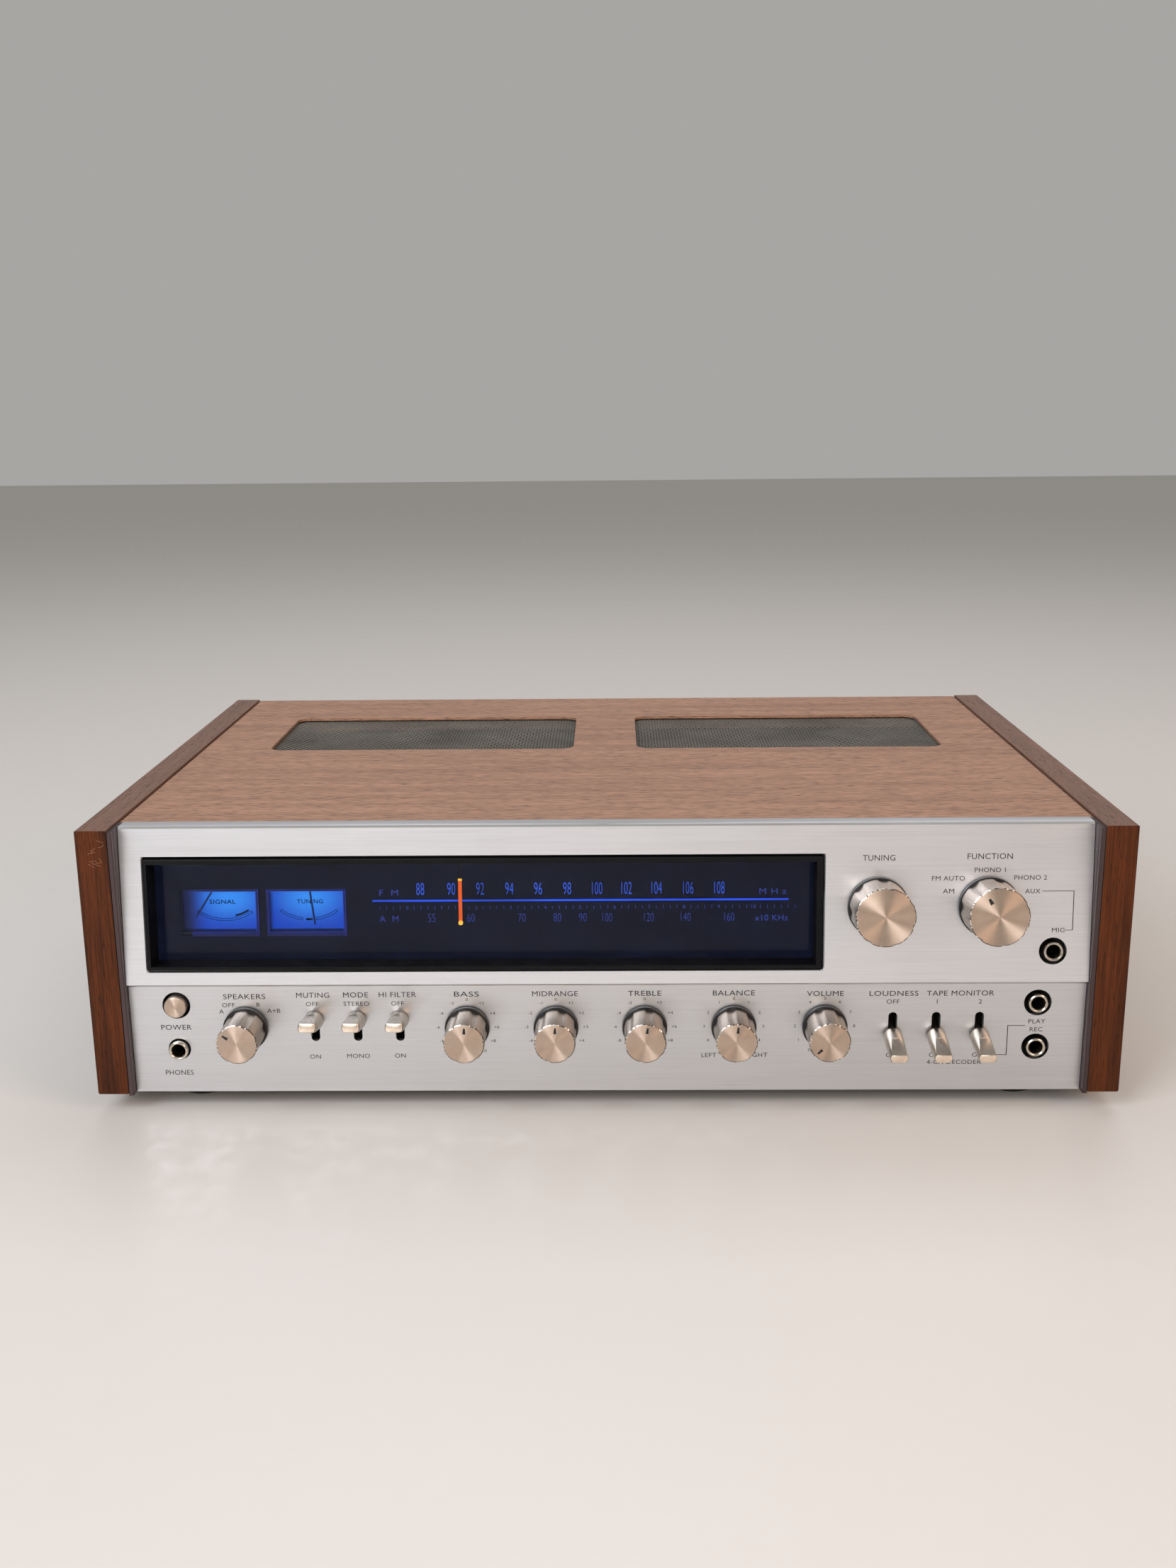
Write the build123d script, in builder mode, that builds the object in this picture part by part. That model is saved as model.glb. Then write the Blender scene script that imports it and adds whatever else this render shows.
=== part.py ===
from build123d import *
from math import atan2, cos, degrees, hypot, radians, sin
import os

# Stereo receiver: walnut cheeks and top, brushed aluminium fascia in two steps, a recessed dial
# window, fluted knobs, bat levers, jacks, and the chassis with its works inside.
# X runs along the front, +Y to the rear, +Z up. The origin is on the table, under the middle of the
# whole box. All sizes are in millimetres.

os.makedirs("parts", exist_ok=True)

# ---- driving dimensions ----
WIDTH = 500.0
CASE_DEPTH = 327.6
CASE_HEIGHT = 134.5
FOOT_HEIGHT = 10.0
FRONT = -155.09                 # front faces of the wooden cheeks
REAR = FRONT + CASE_DEPTH
CHEEK = 15.3                    # cheek thickness
SHEET = 1.2                     # steel sheet of the chassis
BASE = FOOT_HEIGHT              # underside of the cheeks
INNER = WIDTH / 2 - CHEEK       # inside faces of the cheeks

PANEL_HALF = 232.0              # half the width of the fascia
PANEL_T = 3.0                   # thickness of the fascia extrusions
BREAK_Z = 56.0                  # height of the lower edge of the upper fascia above the cheek bottom
UPPER_BACK = 2.3                # how far the upper fascia's lower edge stands behind the cheek fronts
UPPER_TOP_BACK = 9.5            # the same at its upper edge: the upper fascia leans back
UPPER_TOP_Z = 133.7
LOWER_BACK = 5.0                # the lower fascia is upright
LOWER_TOP_Z = 54.6
LOWER_BOTTOM_Z = -1.2
LEAN = degrees(atan2(UPPER_TOP_BACK - UPPER_BACK, UPPER_TOP_Z - BREAK_Z))
UPPER_HEIGHT = hypot(UPPER_TOP_BACK - UPPER_BACK, UPPER_TOP_Z - BREAK_Z)

# Panel planes: local x to the right, local y up the panel, local z out of the panel.
UPPER = Plane(
    origin=(0, FRONT + UPPER_BACK, BASE + BREAK_Z),
    x_dir=(1, 0, 0),
    z_dir=(0, -cos(radians(LEAN)), sin(radians(LEAN))),
)
LOWER = Plane(origin=(0, FRONT + LOWER_BACK, BASE), x_dir=(1, 0, 0), z_dir=(0, -1, 0))

ROW = 32.7                      # height of the row of small knobs and levers on the lower fascia
SMALL_KNOB_X = {
    "speakers": -175.7,
    "bass": -67.3,
    "midrange": -24.0,
    "treble": 19.2,
    "balance": 62.5,
    "volume": 106.6,
}
BIG_KNOB_X = {"tuning": 130.5, "function": 183.1}
BIG_ROW = 37.4                  # height of the big knobs on the upper fascia
FLUTE_TURN = {                  # where one flute of each cap stands at rest, clockwise from the top
    "speakers": 23.0,
    "bass": 25.0,
    "midrange": 19.0,
    "treble": 13.0,
    "balance": -10.0,
    "volume": -21.0,
    "tuning": -45.0,
    "function": -36.0,
}
SMALL_R, SMALL_SKIRT_R, SMALL_OUT = 9.9, 10.9, 20.5
SMALL_FLUTES, SMALL_FLUTE_DEPTH, SMALL_FLUTE_R = 6, 0.9, 4.5
BIG_R, BIG_SKIRT_R, BIG_OUT = 14.05, 14.6, 22.0
BIG_FLUTES, BIG_FLUTE_DEPTH, BIG_FLUTE_R = 7, 1.0, 6.0
FLUTE_TAPER = 1.9               # the flutes run out towards the face, degrees
SHAFT_R = 3.0
SHAFT_BORE_R = SHAFT_R + 0.3    # clearance hole where a shaft only passes through
RUNNING_FIT = 0.03              # radial clearance of a bushing that runs on its shaft
CAP_WALL = 1.4
CORE_FIT = 0.05
SKIRT_FROM, SKIRT_TO = 0.7, 2.6  # the skirt disc stands this far out of the fascia
TUNING_SHAFT_END, FUNCTION_SHAFT_END, SMALL_SHAFT_END = -44.0, -52.0, -24.0

LEVER_X = {
    "muting": -141.8,
    "mode": -121.0,
    "hi_filter": -100.3,
    "loudness": 139.6,
    "tape_1": 160.6,
    "tape_2": 181.5,
}
LEVERS_UP = ("muting", "mode", "hi_filter")
LEVER_TILT = 12.5               # degrees above or below level
PIVOT_DEPTH = 18.0              # lever pivot behind the fascia
SLOT_W, SLOT_L = 4.3, 14.1

SIDE_X = 209.2                  # column of the power button and jacks at each end
UPPER_ROW, UNDER_ROW = 44.5, 21.7
MIC_X, MIC_Y = 214.3, 15.4
JACK_BORE_R = 3.25              # quarter-inch jack
JACK_NOSE_R = 4.75
JACK_HOLE_R = 6.65
PHONES_HOLE_R = 5.5
JACK_COLLAR_R = 8.5
BUTTON_R = 5.4
BUTTON_HOLE_R = 6.85
BUSHING_R, BUSHING_HOLE_R = 4.2, 4.4

SUBPANEL = -12.0                # front face of the steel subpanel behind the lower fascia
CONTROL_FACE = SUBPANEL - SHEET - 0.2
DIAL_FRAME = -38.0              # front face of the steel dial frame behind the upper fascia

WINDOW = (-58.25, 34.9, 326.1, 56.2)        # opening in the fascia: centre x, y, width, height
BEZEL_OUT = (-58.45, 34.85, 324.9, 54.9)
BEZEL_IN = (-59.0, 34.5, 320.4, 50.4)
WINDOW_DEPTH = 12.5
PLATE_D = -17.5                 # front face of the black screen that carries the scales
METER_X = {"signal": -188.3, "tuning": -146.6}   # needle pivots
METER_MID = {"signal": -189.8, "tuning": -146.7}  # middles of the lit windows
METER_WINDOW = (38.2, 23.1)
METER_WINDOW_Y = 31.85
METER_CASE = (40.4, 33.0, 15.0)             # width, height and depth outside
METER_CASE_Y = 37.5
METER_WALL = 0.9
NEEDLE_REST = {"signal": -33.0, "tuning": 7.0}   # degrees from straight down, positive to the right
METER_PIVOT_Y = 50.4
NEEDLE_L = 26.0
POINTER_X = -70.5
RAIL_Y, RAIL_D = 66.0, -24.0
DRUM_X, DRUM_Y, DRUM_R = -20.0, 36.0, 20.0
CORD_D = -28.0
VENT_X, VENT_W, VENT_L, VENT_MID = 106.9, 177.0, 91.7, 220.2
COVER_TOP, COVER_T = 133.4, 9.0
MESH_DROP = 1.5                 # how far the vent meshes lie below the top
COVER_FRONT = 19.2
REAR_PANEL = 306.0              # rear panel's front face behind the cheek fronts
FLOOR_Z = 2.0                   # underside of the chassis above the cheek bottom


def save(piece, name):
    """Label a finished piece and write its STEP file."""
    piece.part.label = name
    export_step(piece.part, f"parts/{name}.step")


def level(z):
    """Horizontal plane at height z above the cheeks' underside, its x right and its y to the rear."""
    return Plane(origin=(0, FRONT, BASE + z))


def block(x, y, z):
    """Add a block between (low, high) pairs, y from the cheek fronts and z from the cheek bottoms."""
    with BuildSketch(level(z[0])) as outline:
        with Locations(((x[0] + x[1]) / 2, (y[0] + y[1]) / 2)):
            Rectangle(x[1] - x[0], y[1] - y[0])
    extrude(outline.sketch, amount=z[1] - z[0])


def disc(plane, x, y, radius, low, high, mode=Mode.ADD):
    """Round bar square to a panel plane, between two distances from it."""
    with BuildSketch(plane.offset(low)) as outline:
        with Locations((x, y)):
            Circle(radius)
    extrude(outline.sketch, amount=high - low, mode=mode)


def slab(plane, x, y, width, height, low, high, mode=Mode.ADD):
    """Rectangular block square to a panel plane, between two distances from it."""
    with BuildSketch(plane.offset(low)) as outline:
        with Locations((x, y)):
            Rectangle(width, height)
    extrude(outline.sketch, amount=high - low, mode=mode)


# ---- wooden case ----
def cheek(side):
    """A side panel, its outer edges and its rear top corner eased."""
    with BuildPart() as piece:
        with BuildSketch(level(0)):
            with Locations((side * (WIDTH / 2 - CHEEK / 2), CASE_DEPTH / 2)):
                Rectangle(CHEEK, CASE_DEPTH)
        extrude(amount=CASE_HEIGHT)
        rear_top = piece.edges().filter_by(Axis.X).group_by(Axis.Y)[-1].sort_by(Axis.Z)[-1]
        fillet(rear_top, 3.0)
        outer = piece.faces().sort_by(Axis.X)[-1 if side > 0 else 0]
        fillet(outer.edges(), 1.2)
    return piece


left_cheek = cheek(-1)
save(left_cheek, "left_cheek")
right_cheek = cheek(1)
save(right_cheek, "right_cheek")

with BuildPart() as top_cover:
    with BuildSketch(level(COVER_TOP - COVER_T)):
        with Locations((0, (COVER_FRONT + CASE_DEPTH) / 2)):
            Rectangle(2 * (INNER - 0.8), CASE_DEPTH - COVER_FRONT)
    extrude(amount=COVER_T)
    with BuildSketch(level(COVER_TOP)):
        with Locations((-VENT_X, VENT_MID), (VENT_X, VENT_MID)):
            RectangleRounded(VENT_W, VENT_L, 7.5)
    extrude(amount=-COVER_T, mode=Mode.SUBTRACT)
    with BuildSketch(level(COVER_TOP - COVER_T)):
        with Locations((-VENT_X, VENT_MID), (VENT_X, VENT_MID)):
            Rectangle(VENT_W + 10, VENT_L + 10)
    extrude(amount=COVER_T - MESH_DROP, mode=Mode.SUBTRACT)
    chamfer(top_cover.faces().sort_by(Axis.Z)[-1].edges().filter_by(Axis.X).sort_by(Axis.Y)[-1], 0.6)
save(top_cover, "top_cover")

with BuildPart() as vent_meshes:
    with BuildSketch(level(COVER_TOP - MESH_DROP - 1.1)):
        with Locations((-VENT_X, VENT_MID), (VENT_X, VENT_MID)):
            Rectangle(VENT_W + 9, VENT_L + 9)
    extrude(amount=1.0)
save(vent_meshes, "vent_meshes")

# ---- fascia ----
with BuildPart() as side_trims:
    for side in (-1, 1):
        with BuildSketch(level(-0.8)):
            with BuildLine():
                Polyline(
                    (side * 232.2, 0.4), (side * 232.6, 0), (side * 234.2, 0), (side * 234.5, 0.3),
                    (side * 234.5, 18.9), (side * 232.2, 18.9), (side * 232.2, 3.6), (side * 232.5, 3.3),
                    (side * 232.5, 2.9), (side * 232.2, 2.6), close=True,
                )
            make_face()
        extrude(amount=134.4)
save(side_trims, "side_trims")

with BuildPart() as upper_fascia:
    with BuildSketch(Plane.YZ.offset(-PANEL_HALF)):
        inner_y = UPPER_BACK + PANEL_T * cos(radians(LEAN))
        inner_z = BREAK_Z - PANEL_T * sin(radians(LEAN))
        flange_z = UPPER_TOP_Z - 1.8
        flange_y = inner_y + (flange_z - inner_z) * sin(radians(LEAN)) / cos(radians(LEAN))
        profile = (
            (UPPER_BACK, BREAK_Z), (UPPER_TOP_BACK, UPPER_TOP_Z), (19.0, UPPER_TOP_Z),
            (19.0, flange_z), (flange_y, flange_z), (inner_y, inner_z),
        )
        with BuildLine():
            Polyline([(FRONT + y, BASE + z) for y, z in profile], close=True)
        make_face()
    extrude(amount=2 * PANEL_HALF)
    top_edge = upper_fascia.edges().filter_by(Axis.X).group_by(Axis.Z)[-1].sort_by(Axis.Y)[0]
    chamfer(top_edge, 0.9)
    with BuildSketch(UPPER.offset(1)):
        with Locations((WINDOW[0], WINDOW[1])):
            Rectangle(WINDOW[2], WINDOW[3])
        with Locations(*[(x, BIG_ROW) for x in BIG_KNOB_X.values()]):
            Circle(5.0)
        with Locations((MIC_X, MIC_Y)):
            Circle(JACK_HOLE_R)
    extrude(amount=-PANEL_T - 2, mode=Mode.SUBTRACT)
    front_faces = upper_fascia.faces().filter_by(lambda f: f.normal_at().Y < -0.9)
    front_face = front_faces.sort_by(SortBy.AREA)[-1]
    window_edges = front_face.edges().filter_by(Axis.X).sort_by(Axis.Z)[1:-1]
    window_sides = front_face.edges().filter_by(GeomType.LINE).filter_by(Axis.X, reverse=True)
    window_sides = window_sides.filter_by(lambda e: abs(e.center().X) < PANEL_HALF - 5)
    chamfer(window_edges + window_sides, 0.5)
save(upper_fascia, "upper_fascia")

with BuildPart() as lower_fascia:
    mid = (LOWER_TOP_Z + LOWER_BOTTOM_Z) / 2
    with BuildSketch(LOWER):
        with Locations((0, mid)):
            Rectangle(2 * PANEL_HALF, LOWER_TOP_Z - LOWER_BOTTOM_Z)
        with Locations((-SIDE_X, UPPER_ROW)):
            Circle(BUTTON_HOLE_R, mode=Mode.SUBTRACT)
        with Locations((-SIDE_X, UNDER_ROW)):
            Circle(PHONES_HOLE_R, mode=Mode.SUBTRACT)
        with Locations((SIDE_X, UPPER_ROW), (SIDE_X, UNDER_ROW)):
            Circle(JACK_HOLE_R, mode=Mode.SUBTRACT)
        with Locations(*[(x, ROW) for x in SMALL_KNOB_X.values()]):
            Circle(BUSHING_HOLE_R, mode=Mode.SUBTRACT)
        with Locations(*[(x, ROW) for x in LEVER_X.values()]):
            SlotOverall(SLOT_L, SLOT_W, rotation=90, mode=Mode.SUBTRACT)
    extrude(amount=-PANEL_T)
    chamfer(lower_fascia.edges().filter_by(Axis.X).group_by(Axis.Y)[0], 0.4)
save(lower_fascia, "lower_fascia")

# ---- dial window ----
with BuildPart() as window_bezel:
    slab(UPPER, *BEZEL_OUT, -WINDOW_DEPTH, 0.8)
    bezel_front = window_bezel.faces().filter_by(lambda f: f.normal_at().Y < -0.9).sort_by(Axis.Y)[0]
    fillet(bezel_front.edges(), 0.6)
    slab(UPPER, BEZEL_OUT[0], BEZEL_OUT[1], BEZEL_OUT[2] + 9, BEZEL_OUT[3] + 6, -4.5, -3.2)
    with BuildSketch(UPPER.offset(1)):
        with Locations((BEZEL_IN[0], BEZEL_IN[1])):
            Rectangle(BEZEL_IN[2], BEZEL_IN[3])
    extrude(amount=-WINDOW_DEPTH - 2, mode=Mode.SUBTRACT)
save(window_bezel, "window_bezel")

with BuildPart() as dial_glass:
    glass_front = -WINDOW_DEPTH - 0.1
    slab(UPPER, *BEZEL_OUT[:2], BEZEL_OUT[2] + 1, BEZEL_OUT[3], glass_front - 2.0, glass_front)
save(dial_glass, "dial_glass")

with BuildPart() as dial_plate:
    slab(UPPER, -59.0, 33.7, 324.0, 54.6, PLATE_D - 1.0, PLATE_D)
    for x in METER_MID.values():
        slab(UPPER, x, METER_WINDOW_Y, *METER_WINDOW, PLATE_D - 2.0, PLATE_D + 1.0, Mode.SUBTRACT)
save(dial_plate, "dial_plate")

with BuildPart() as meter_cases:
    case_w, case_h, case_d = METER_CASE
    front = PLATE_D - 1.5
    for x in METER_MID.values():
        slab(UPPER, x, METER_CASE_Y, case_w, case_h, front - case_d, front)
        room_w, room_h = case_w - 2 * METER_WALL, case_h - 2 * METER_WALL
        slab(UPPER, x, METER_CASE_Y, room_w, room_h, front - case_d + 3.0, front + 0.1, Mode.SUBTRACT)
        slab(UPPER, x, METER_CASE_Y, room_w - 0.2, room_h - 0.2, front - 6.0, front - 5.2)
save(meter_cases, "meter_cases")


def needle(name):
    """A meter needle at rest, hung from its pivot above the lit window."""
    turn = NEEDLE_REST[name]
    with BuildPart() as piece:
        with BuildSketch(UPPER.offset(-22.6)):
            with Locations((METER_X[name], METER_PIVOT_Y)):
                Circle(1.3)
            with Locations(Location((METER_X[name], METER_PIVOT_Y), turn)):
                with Locations((0, -NEEDLE_L / 2)):
                    Rectangle(0.9, NEEDLE_L)
        extrude(amount=0.5)
        disc(UPPER, METER_X[name], METER_PIVOT_Y, 0.8, -23.8, -20.8)
    return piece


signal_needle = needle("signal")
save(signal_needle, "signal_needle")
tuning_needle = needle("tuning")
save(tuning_needle, "tuning_needle")

with BuildPart() as dial_frame:
    slab(UPPER, -9.5, 34.5, 429.0, 67.0, DIAL_FRAME - SHEET, DIAL_FRAME)
    for x, y, radius in (
        (BIG_KNOB_X["tuning"], BIG_ROW, SHAFT_BORE_R),
        (BIG_KNOB_X["function"], BIG_ROW, 5.0),
        (DRUM_X, DRUM_Y, 4.5),
    ):
        disc(UPPER, x, y, radius, -40, -37, Mode.SUBTRACT)
    for x in (-125.5, 100.5):
        slab(UPPER, x, RAIL_Y, 3.0, 6.0, DIAL_FRAME, -21.0)
    with BuildSketch(Plane.YZ.offset(-127.5)):
        rail_spot = UPPER.from_local_coords((0, RAIL_Y, RAIL_D))
        with Locations((rail_spot.Y, rail_spot.Z)):
            Circle(1.5)
    extrude(amount=230.0)
save(dial_frame, "dial_frame")

with BuildPart() as pointer:
    slab(UPPER, POINTER_X, 37.6, 1.6, 22.0, -16.4, -15.4)
    slab(UPPER, POINTER_X, 56.0, 0.9, 16.0, -16.4, -15.4)
    slab(UPPER, POINTER_X, 63.2, 3.0, 2.0, -24.0, -15.4)
    slab(UPPER, POINTER_X, RAIL_Y, 14.0, 7.6, -27.5, -20.5)
    with BuildSketch(Plane.YZ.offset(POINTER_X - 8)):
        with Locations((rail_spot.Y, rail_spot.Z)):
            Circle(1.56)
    extrude(amount=16.0, mode=Mode.SUBTRACT)
save(pointer, "pointer")

with BuildPart() as dial_lamps:
    slab(UPPER, -20.0, 2.9, 230.0, 3.6, -26.0, -20.0)
    lamp_plane = Plane(UPPER.from_local_coords((0, 4.7, -23.0)), x_dir=(1, 0, 0), z_dir=UPPER.y_dir)
    with BuildSketch(lamp_plane):
        with GridLocations(52, 1, 5, 1):
            with Locations((-20, 0)):
                Circle(1.9)
    extrude(amount=5.5)
    fillet(dial_lamps.faces().filter_by(lambda f: f.normal_at().Z > 0.9).sort_by(Axis.Z)[-5:].edges(), 1.5)
save(dial_lamps, "dial_lamps")

with BuildPart() as dial_drum:
    disc(UPPER, DRUM_X, DRUM_Y, DRUM_R, -31.0, -25.0)
    disc(UPPER, DRUM_X, DRUM_Y, DRUM_R + 1, -31.0, -30.0)
    disc(UPPER, DRUM_X, DRUM_Y, DRUM_R + 1, -26.0, -25.0)
    with BuildSketch(UPPER.offset(-24.0)):
        with Locations((DRUM_X, DRUM_Y)):
            with PolarLocations(12.5, 5):
                Circle(4.0)
    extrude(amount=-8.0, mode=Mode.SUBTRACT)
    disc(UPPER, DRUM_X, DRUM_Y, 5.5, -34.0, -24.0)
    disc(UPPER, DRUM_X, DRUM_Y, SHAFT_R, -42.0, -24.0)
save(dial_drum, "dial_drum")

with BuildPart() as dial_cord:
    with BuildLine(UPPER.offset(CORD_D)) as cord_path:
        FilletPolyline(
            (-112, 66.0), (90, 66.0), (138.2, 40.0), (131.6, 30.6), (-18, 14.2), (-46, 20.0),
            radius=(3.5, 6.0, 4.5, 4.5, 12.0, 12.0), close=True,
        )
    with BuildSketch(Plane(origin=cord_path.line @ 0, z_dir=cord_path.line % 0)):
        Circle(0.3)
    sweep(path=cord_path.line)
save(dial_cord, "dial_cord")

# ---- tuning capacitor ----
STATOR_PLATES, PLATE_PITCH, PLATE_T = 8, 4.0, 0.8
with BuildPart() as variable_capacitor:
    slab(UPPER, DRUM_X, 15.0, 44.0, 2.0, -84.0, -39.4)
    slab(UPPER, DRUM_X, 36.0, 44.0, 44.0, -41.4, -39.4)
    slab(UPPER, DRUM_X, 36.0, 44.0, 44.0, -84.0, -82.0)
    slab(UPPER, DRUM_X, 56.5, 30.0, 3.0, -82.0, -41.4)
    for k in range(STATOR_PLATES):
        low = -47.0 - k * PLATE_PITCH
        with BuildSketch(UPPER.offset(low)):
            with Locations((DRUM_X, DRUM_Y + 1)):
                Circle(20.0)
                Circle(6.0, mode=Mode.SUBTRACT)
            with Locations((DRUM_X, DRUM_Y - 11)):
                Rectangle(44, 24, mode=Mode.SUBTRACT)
        extrude(amount=PLATE_T)
    disc(UPPER, DRUM_X, DRUM_Y, SHAFT_BORE_R, -85.0, -39.0, Mode.SUBTRACT)
save(variable_capacitor, "variable_capacitor")

ROTOR_REST = -27.0              # turn of the rotor plates from fully in mesh
with BuildPart() as capacitor_rotor:
    disc(UPPER, DRUM_X, DRUM_Y, SHAFT_R, -83.5, -43.0)
    for k in range(STATOR_PLATES - 1):
        low = -47.0 - (k + 0.5) * PLATE_PITCH
        with BuildSketch(UPPER.offset(low)):
            with Locations(Location((DRUM_X, DRUM_Y), ROTOR_REST)):
                Circle(16.0)
                with Locations((0, -10)):
                    Rectangle(40, 20, mode=Mode.SUBTRACT)
            with Locations((DRUM_X, DRUM_Y)):
                Circle(4.5)
        extrude(amount=PLATE_T)
save(capacitor_rotor, "capacitor_rotor")


# ---- knobs ----
def knob_cap(plane, x, y, name, radius, out, flutes, depth, flute_r):
    """Spun aluminium cap: a cup with flutes that run out at its flat face, and a bevelled rim."""
    with BuildPart() as piece:
        with BuildSketch(plane.offset(SKIRT_TO)):
            with Locations((x, y)):
                Circle(radius)
        extrude(amount=out - SKIRT_TO)
        chamfer(piece.edges().sort_by(Axis.Y)[0], 0.35)
        with BuildSketch(plane.offset(SKIRT_TO)):
            with Locations((x, y)):
                start = 90 - FLUTE_TURN[name]
                with PolarLocations(radius - depth + flute_r, flutes, start_angle=start):
                    Circle(flute_r)
        extrude(amount=out - SKIRT_TO, taper=FLUTE_TAPER, mode=Mode.SUBTRACT)
        disc(plane, x, y, radius - depth - CAP_WALL, SKIRT_TO, out - CAP_WALL, Mode.SUBTRACT)
    return piece


def knob_spindle(plane, x, y, core_r, skirt_r, core_out, shaft_end):
    """Black core that fills the cap, its skirt disc, and the spindle it turns with."""
    with BuildPart() as piece:
        disc(plane, x, y, skirt_r, SKIRT_FROM, SKIRT_TO)
        chamfer(piece.edges().sort_by(Axis.Y)[0], 0.3)
        disc(plane, x, y, core_r, SKIRT_TO, core_out)
        disc(plane, x, y, SHAFT_R, shaft_end, SKIRT_FROM)
    return piece


small_core = SMALL_R - SMALL_FLUTE_DEPTH - CAP_WALL - CORE_FIT
big_core = BIG_R - BIG_FLUTE_DEPTH - CAP_WALL - CORE_FIT
for name, x in SMALL_KNOB_X.items():
    flutes = (SMALL_FLUTES, SMALL_FLUTE_DEPTH, SMALL_FLUTE_R)
    save(knob_cap(LOWER, x, ROW, name, SMALL_R, SMALL_OUT, *flutes), f"{name}_knob")
    spindle = knob_spindle(LOWER, x, ROW, small_core, SMALL_SKIRT_R, SMALL_OUT - 1.6, SMALL_SHAFT_END)
    save(spindle, f"{name}_spindle")
for name, shaft_end in (("tuning", TUNING_SHAFT_END), ("function", FUNCTION_SHAFT_END)):
    x = BIG_KNOB_X[name]
    flutes = (BIG_FLUTES, BIG_FLUTE_DEPTH, BIG_FLUTE_R)
    save(knob_cap(UPPER, x, BIG_ROW, name, BIG_R, BIG_OUT, *flutes), f"{name}_knob")
    spindle = knob_spindle(UPPER, x, BIG_ROW, big_core, BIG_SKIRT_R, BIG_OUT - 1.6, shaft_end)
    save(spindle, f"{name}_spindle")

with BuildPart() as flywheel:
    disc(UPPER, BIG_KNOB_X["tuning"], BIG_ROW, 20.0, -23.5, -12.0)
    disc(UPPER, BIG_KNOB_X["tuning"], BIG_ROW, 4.0, -31.0, -23.5)
    disc(UPPER, BIG_KNOB_X["tuning"], BIG_ROW, SHAFT_R + RUNNING_FIT, -32.0, -11.0, Mode.SUBTRACT)
save(flywheel, "flywheel")

with BuildPart() as rotary_controls:
    for x in SMALL_KNOB_X.values():
        disc(LOWER, x, ROW, 12.0, -27.0, CONTROL_FACE)
        disc(LOWER, x, ROW, BUSHING_R, CONTROL_FACE, -5.0)
        disc(LOWER, x, ROW, SHAFT_BORE_R, -25.0, -4.0, Mode.SUBTRACT)
    disc(UPPER, BIG_KNOB_X["function"], BIG_ROW, 16.0, -58.0, -39.4)
    disc(UPPER, BIG_KNOB_X["function"], BIG_ROW, 4.4, -39.4, -20.0)
    disc(UPPER, BIG_KNOB_X["function"], BIG_ROW, SHAFT_BORE_R, -54.0, -19.0, Mode.SUBTRACT)
save(rotary_controls, "rotary_controls")


# ---- levers and switches ----
def lever(x, tilt):
    """A bat lever: ball at the pivot, stem, round barrel and two flats that taper to the tip."""
    pivot = LOWER.from_local_coords((x, ROW, -PIVOT_DEPTH))
    out = (0, -cos(radians(tilt)), sin(radians(tilt)))
    along = Plane(pivot, x_dir=(1, 0, 0), z_dir=out)
    with BuildPart() as piece:
        with BuildSketch(Plane(pivot, x_dir=(1, 0, 0), z_dir=-along.y_dir)):
            with BuildLine():
                Polyline(
                    (0, -3), (2.6, -1.6), (3, 0), (2.6, 1.6), (1.75, 2.6), (1.75, 20), (4.3, 20),
                    (4.6, 20.6), (4.6, 25), (4.25, 38.8), (3.85, 39.4), (0, 39.4), close=True,
                )
            make_face()
        revolve(axis=Axis(pivot, out))
        for side in (-1, 1):
            with BuildSketch(Plane(pivot, x_dir=out, z_dir=(1, 0, 0)).offset(-6)):
                with BuildLine():
                    Polyline(
                        (28.0, side * -4.7), (28.5, side * -4.1), (39.5, side * -2.1), (40.0, side * -2.1),
                        (40.0, side * -8), (28.0, side * -8), close=True,
                    )
                make_face()
            extrude(amount=12, mode=Mode.SUBTRACT)
        chamfer(piece.faces().sort_by(Axis.Y)[0].edges(), 0.25)
    return piece


for name, x in LEVER_X.items():
    bat = lever(x, LEVER_TILT if name in LEVERS_UP else -LEVER_TILT)
    save(bat, f"{name}_lever")

with BuildPart() as panel_switches:
    for x in LEVER_X.values():
        slab(LOWER, x, ROW, 15.0, 28.0, -36.0, CONTROL_FACE)
        slab(LOWER, x, ROW, 7.0, 14.0, -24.0, CONTROL_FACE + 1, Mode.SUBTRACT)
    slab(LOWER, -SIDE_X, UPPER_ROW, 18.0, 16.0, -60.0, -26.0)
    slab(LOWER, -SIDE_X, UPPER_ROW, 7.0, 7.0, -56.0, -25.0, Mode.SUBTRACT)
save(panel_switches, "panel_switches")

with BuildPart() as power_button:
    disc(LOWER, -SIDE_X, UPPER_ROW, BUTTON_R, -10.0, 3.0)
    fillet(power_button.edges().sort_by(Axis.Y)[0], 0.5)
    slab(LOWER, -SIDE_X, UPPER_ROW, 5.6, 5.6, -50.0, -10.0)
save(power_button, "power_button")

# ---- jacks ----
JACKS = (
    (LOWER, -SIDE_X, UNDER_ROW, 3.2), (LOWER, SIDE_X, UPPER_ROW, 1.9),
    (LOWER, SIDE_X, UNDER_ROW, 1.9), (UPPER, MIC_X, MIC_Y, 1.9),
)
with BuildPart() as jack_noses:
    for plane, x, y, out in JACKS:
        disc(plane, x, y, JACK_NOSE_R, -9.0, out)
    fillet(jack_noses.faces().filter_by(lambda f: f.normal_at().Y < -0.9).edges(), 0.8)
    for plane, x, y, out in JACKS:
        disc(plane, x, y, JACK_BORE_R, -10.0, out + 1, Mode.SUBTRACT)
save(jack_noses, "jack_noses")

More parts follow.
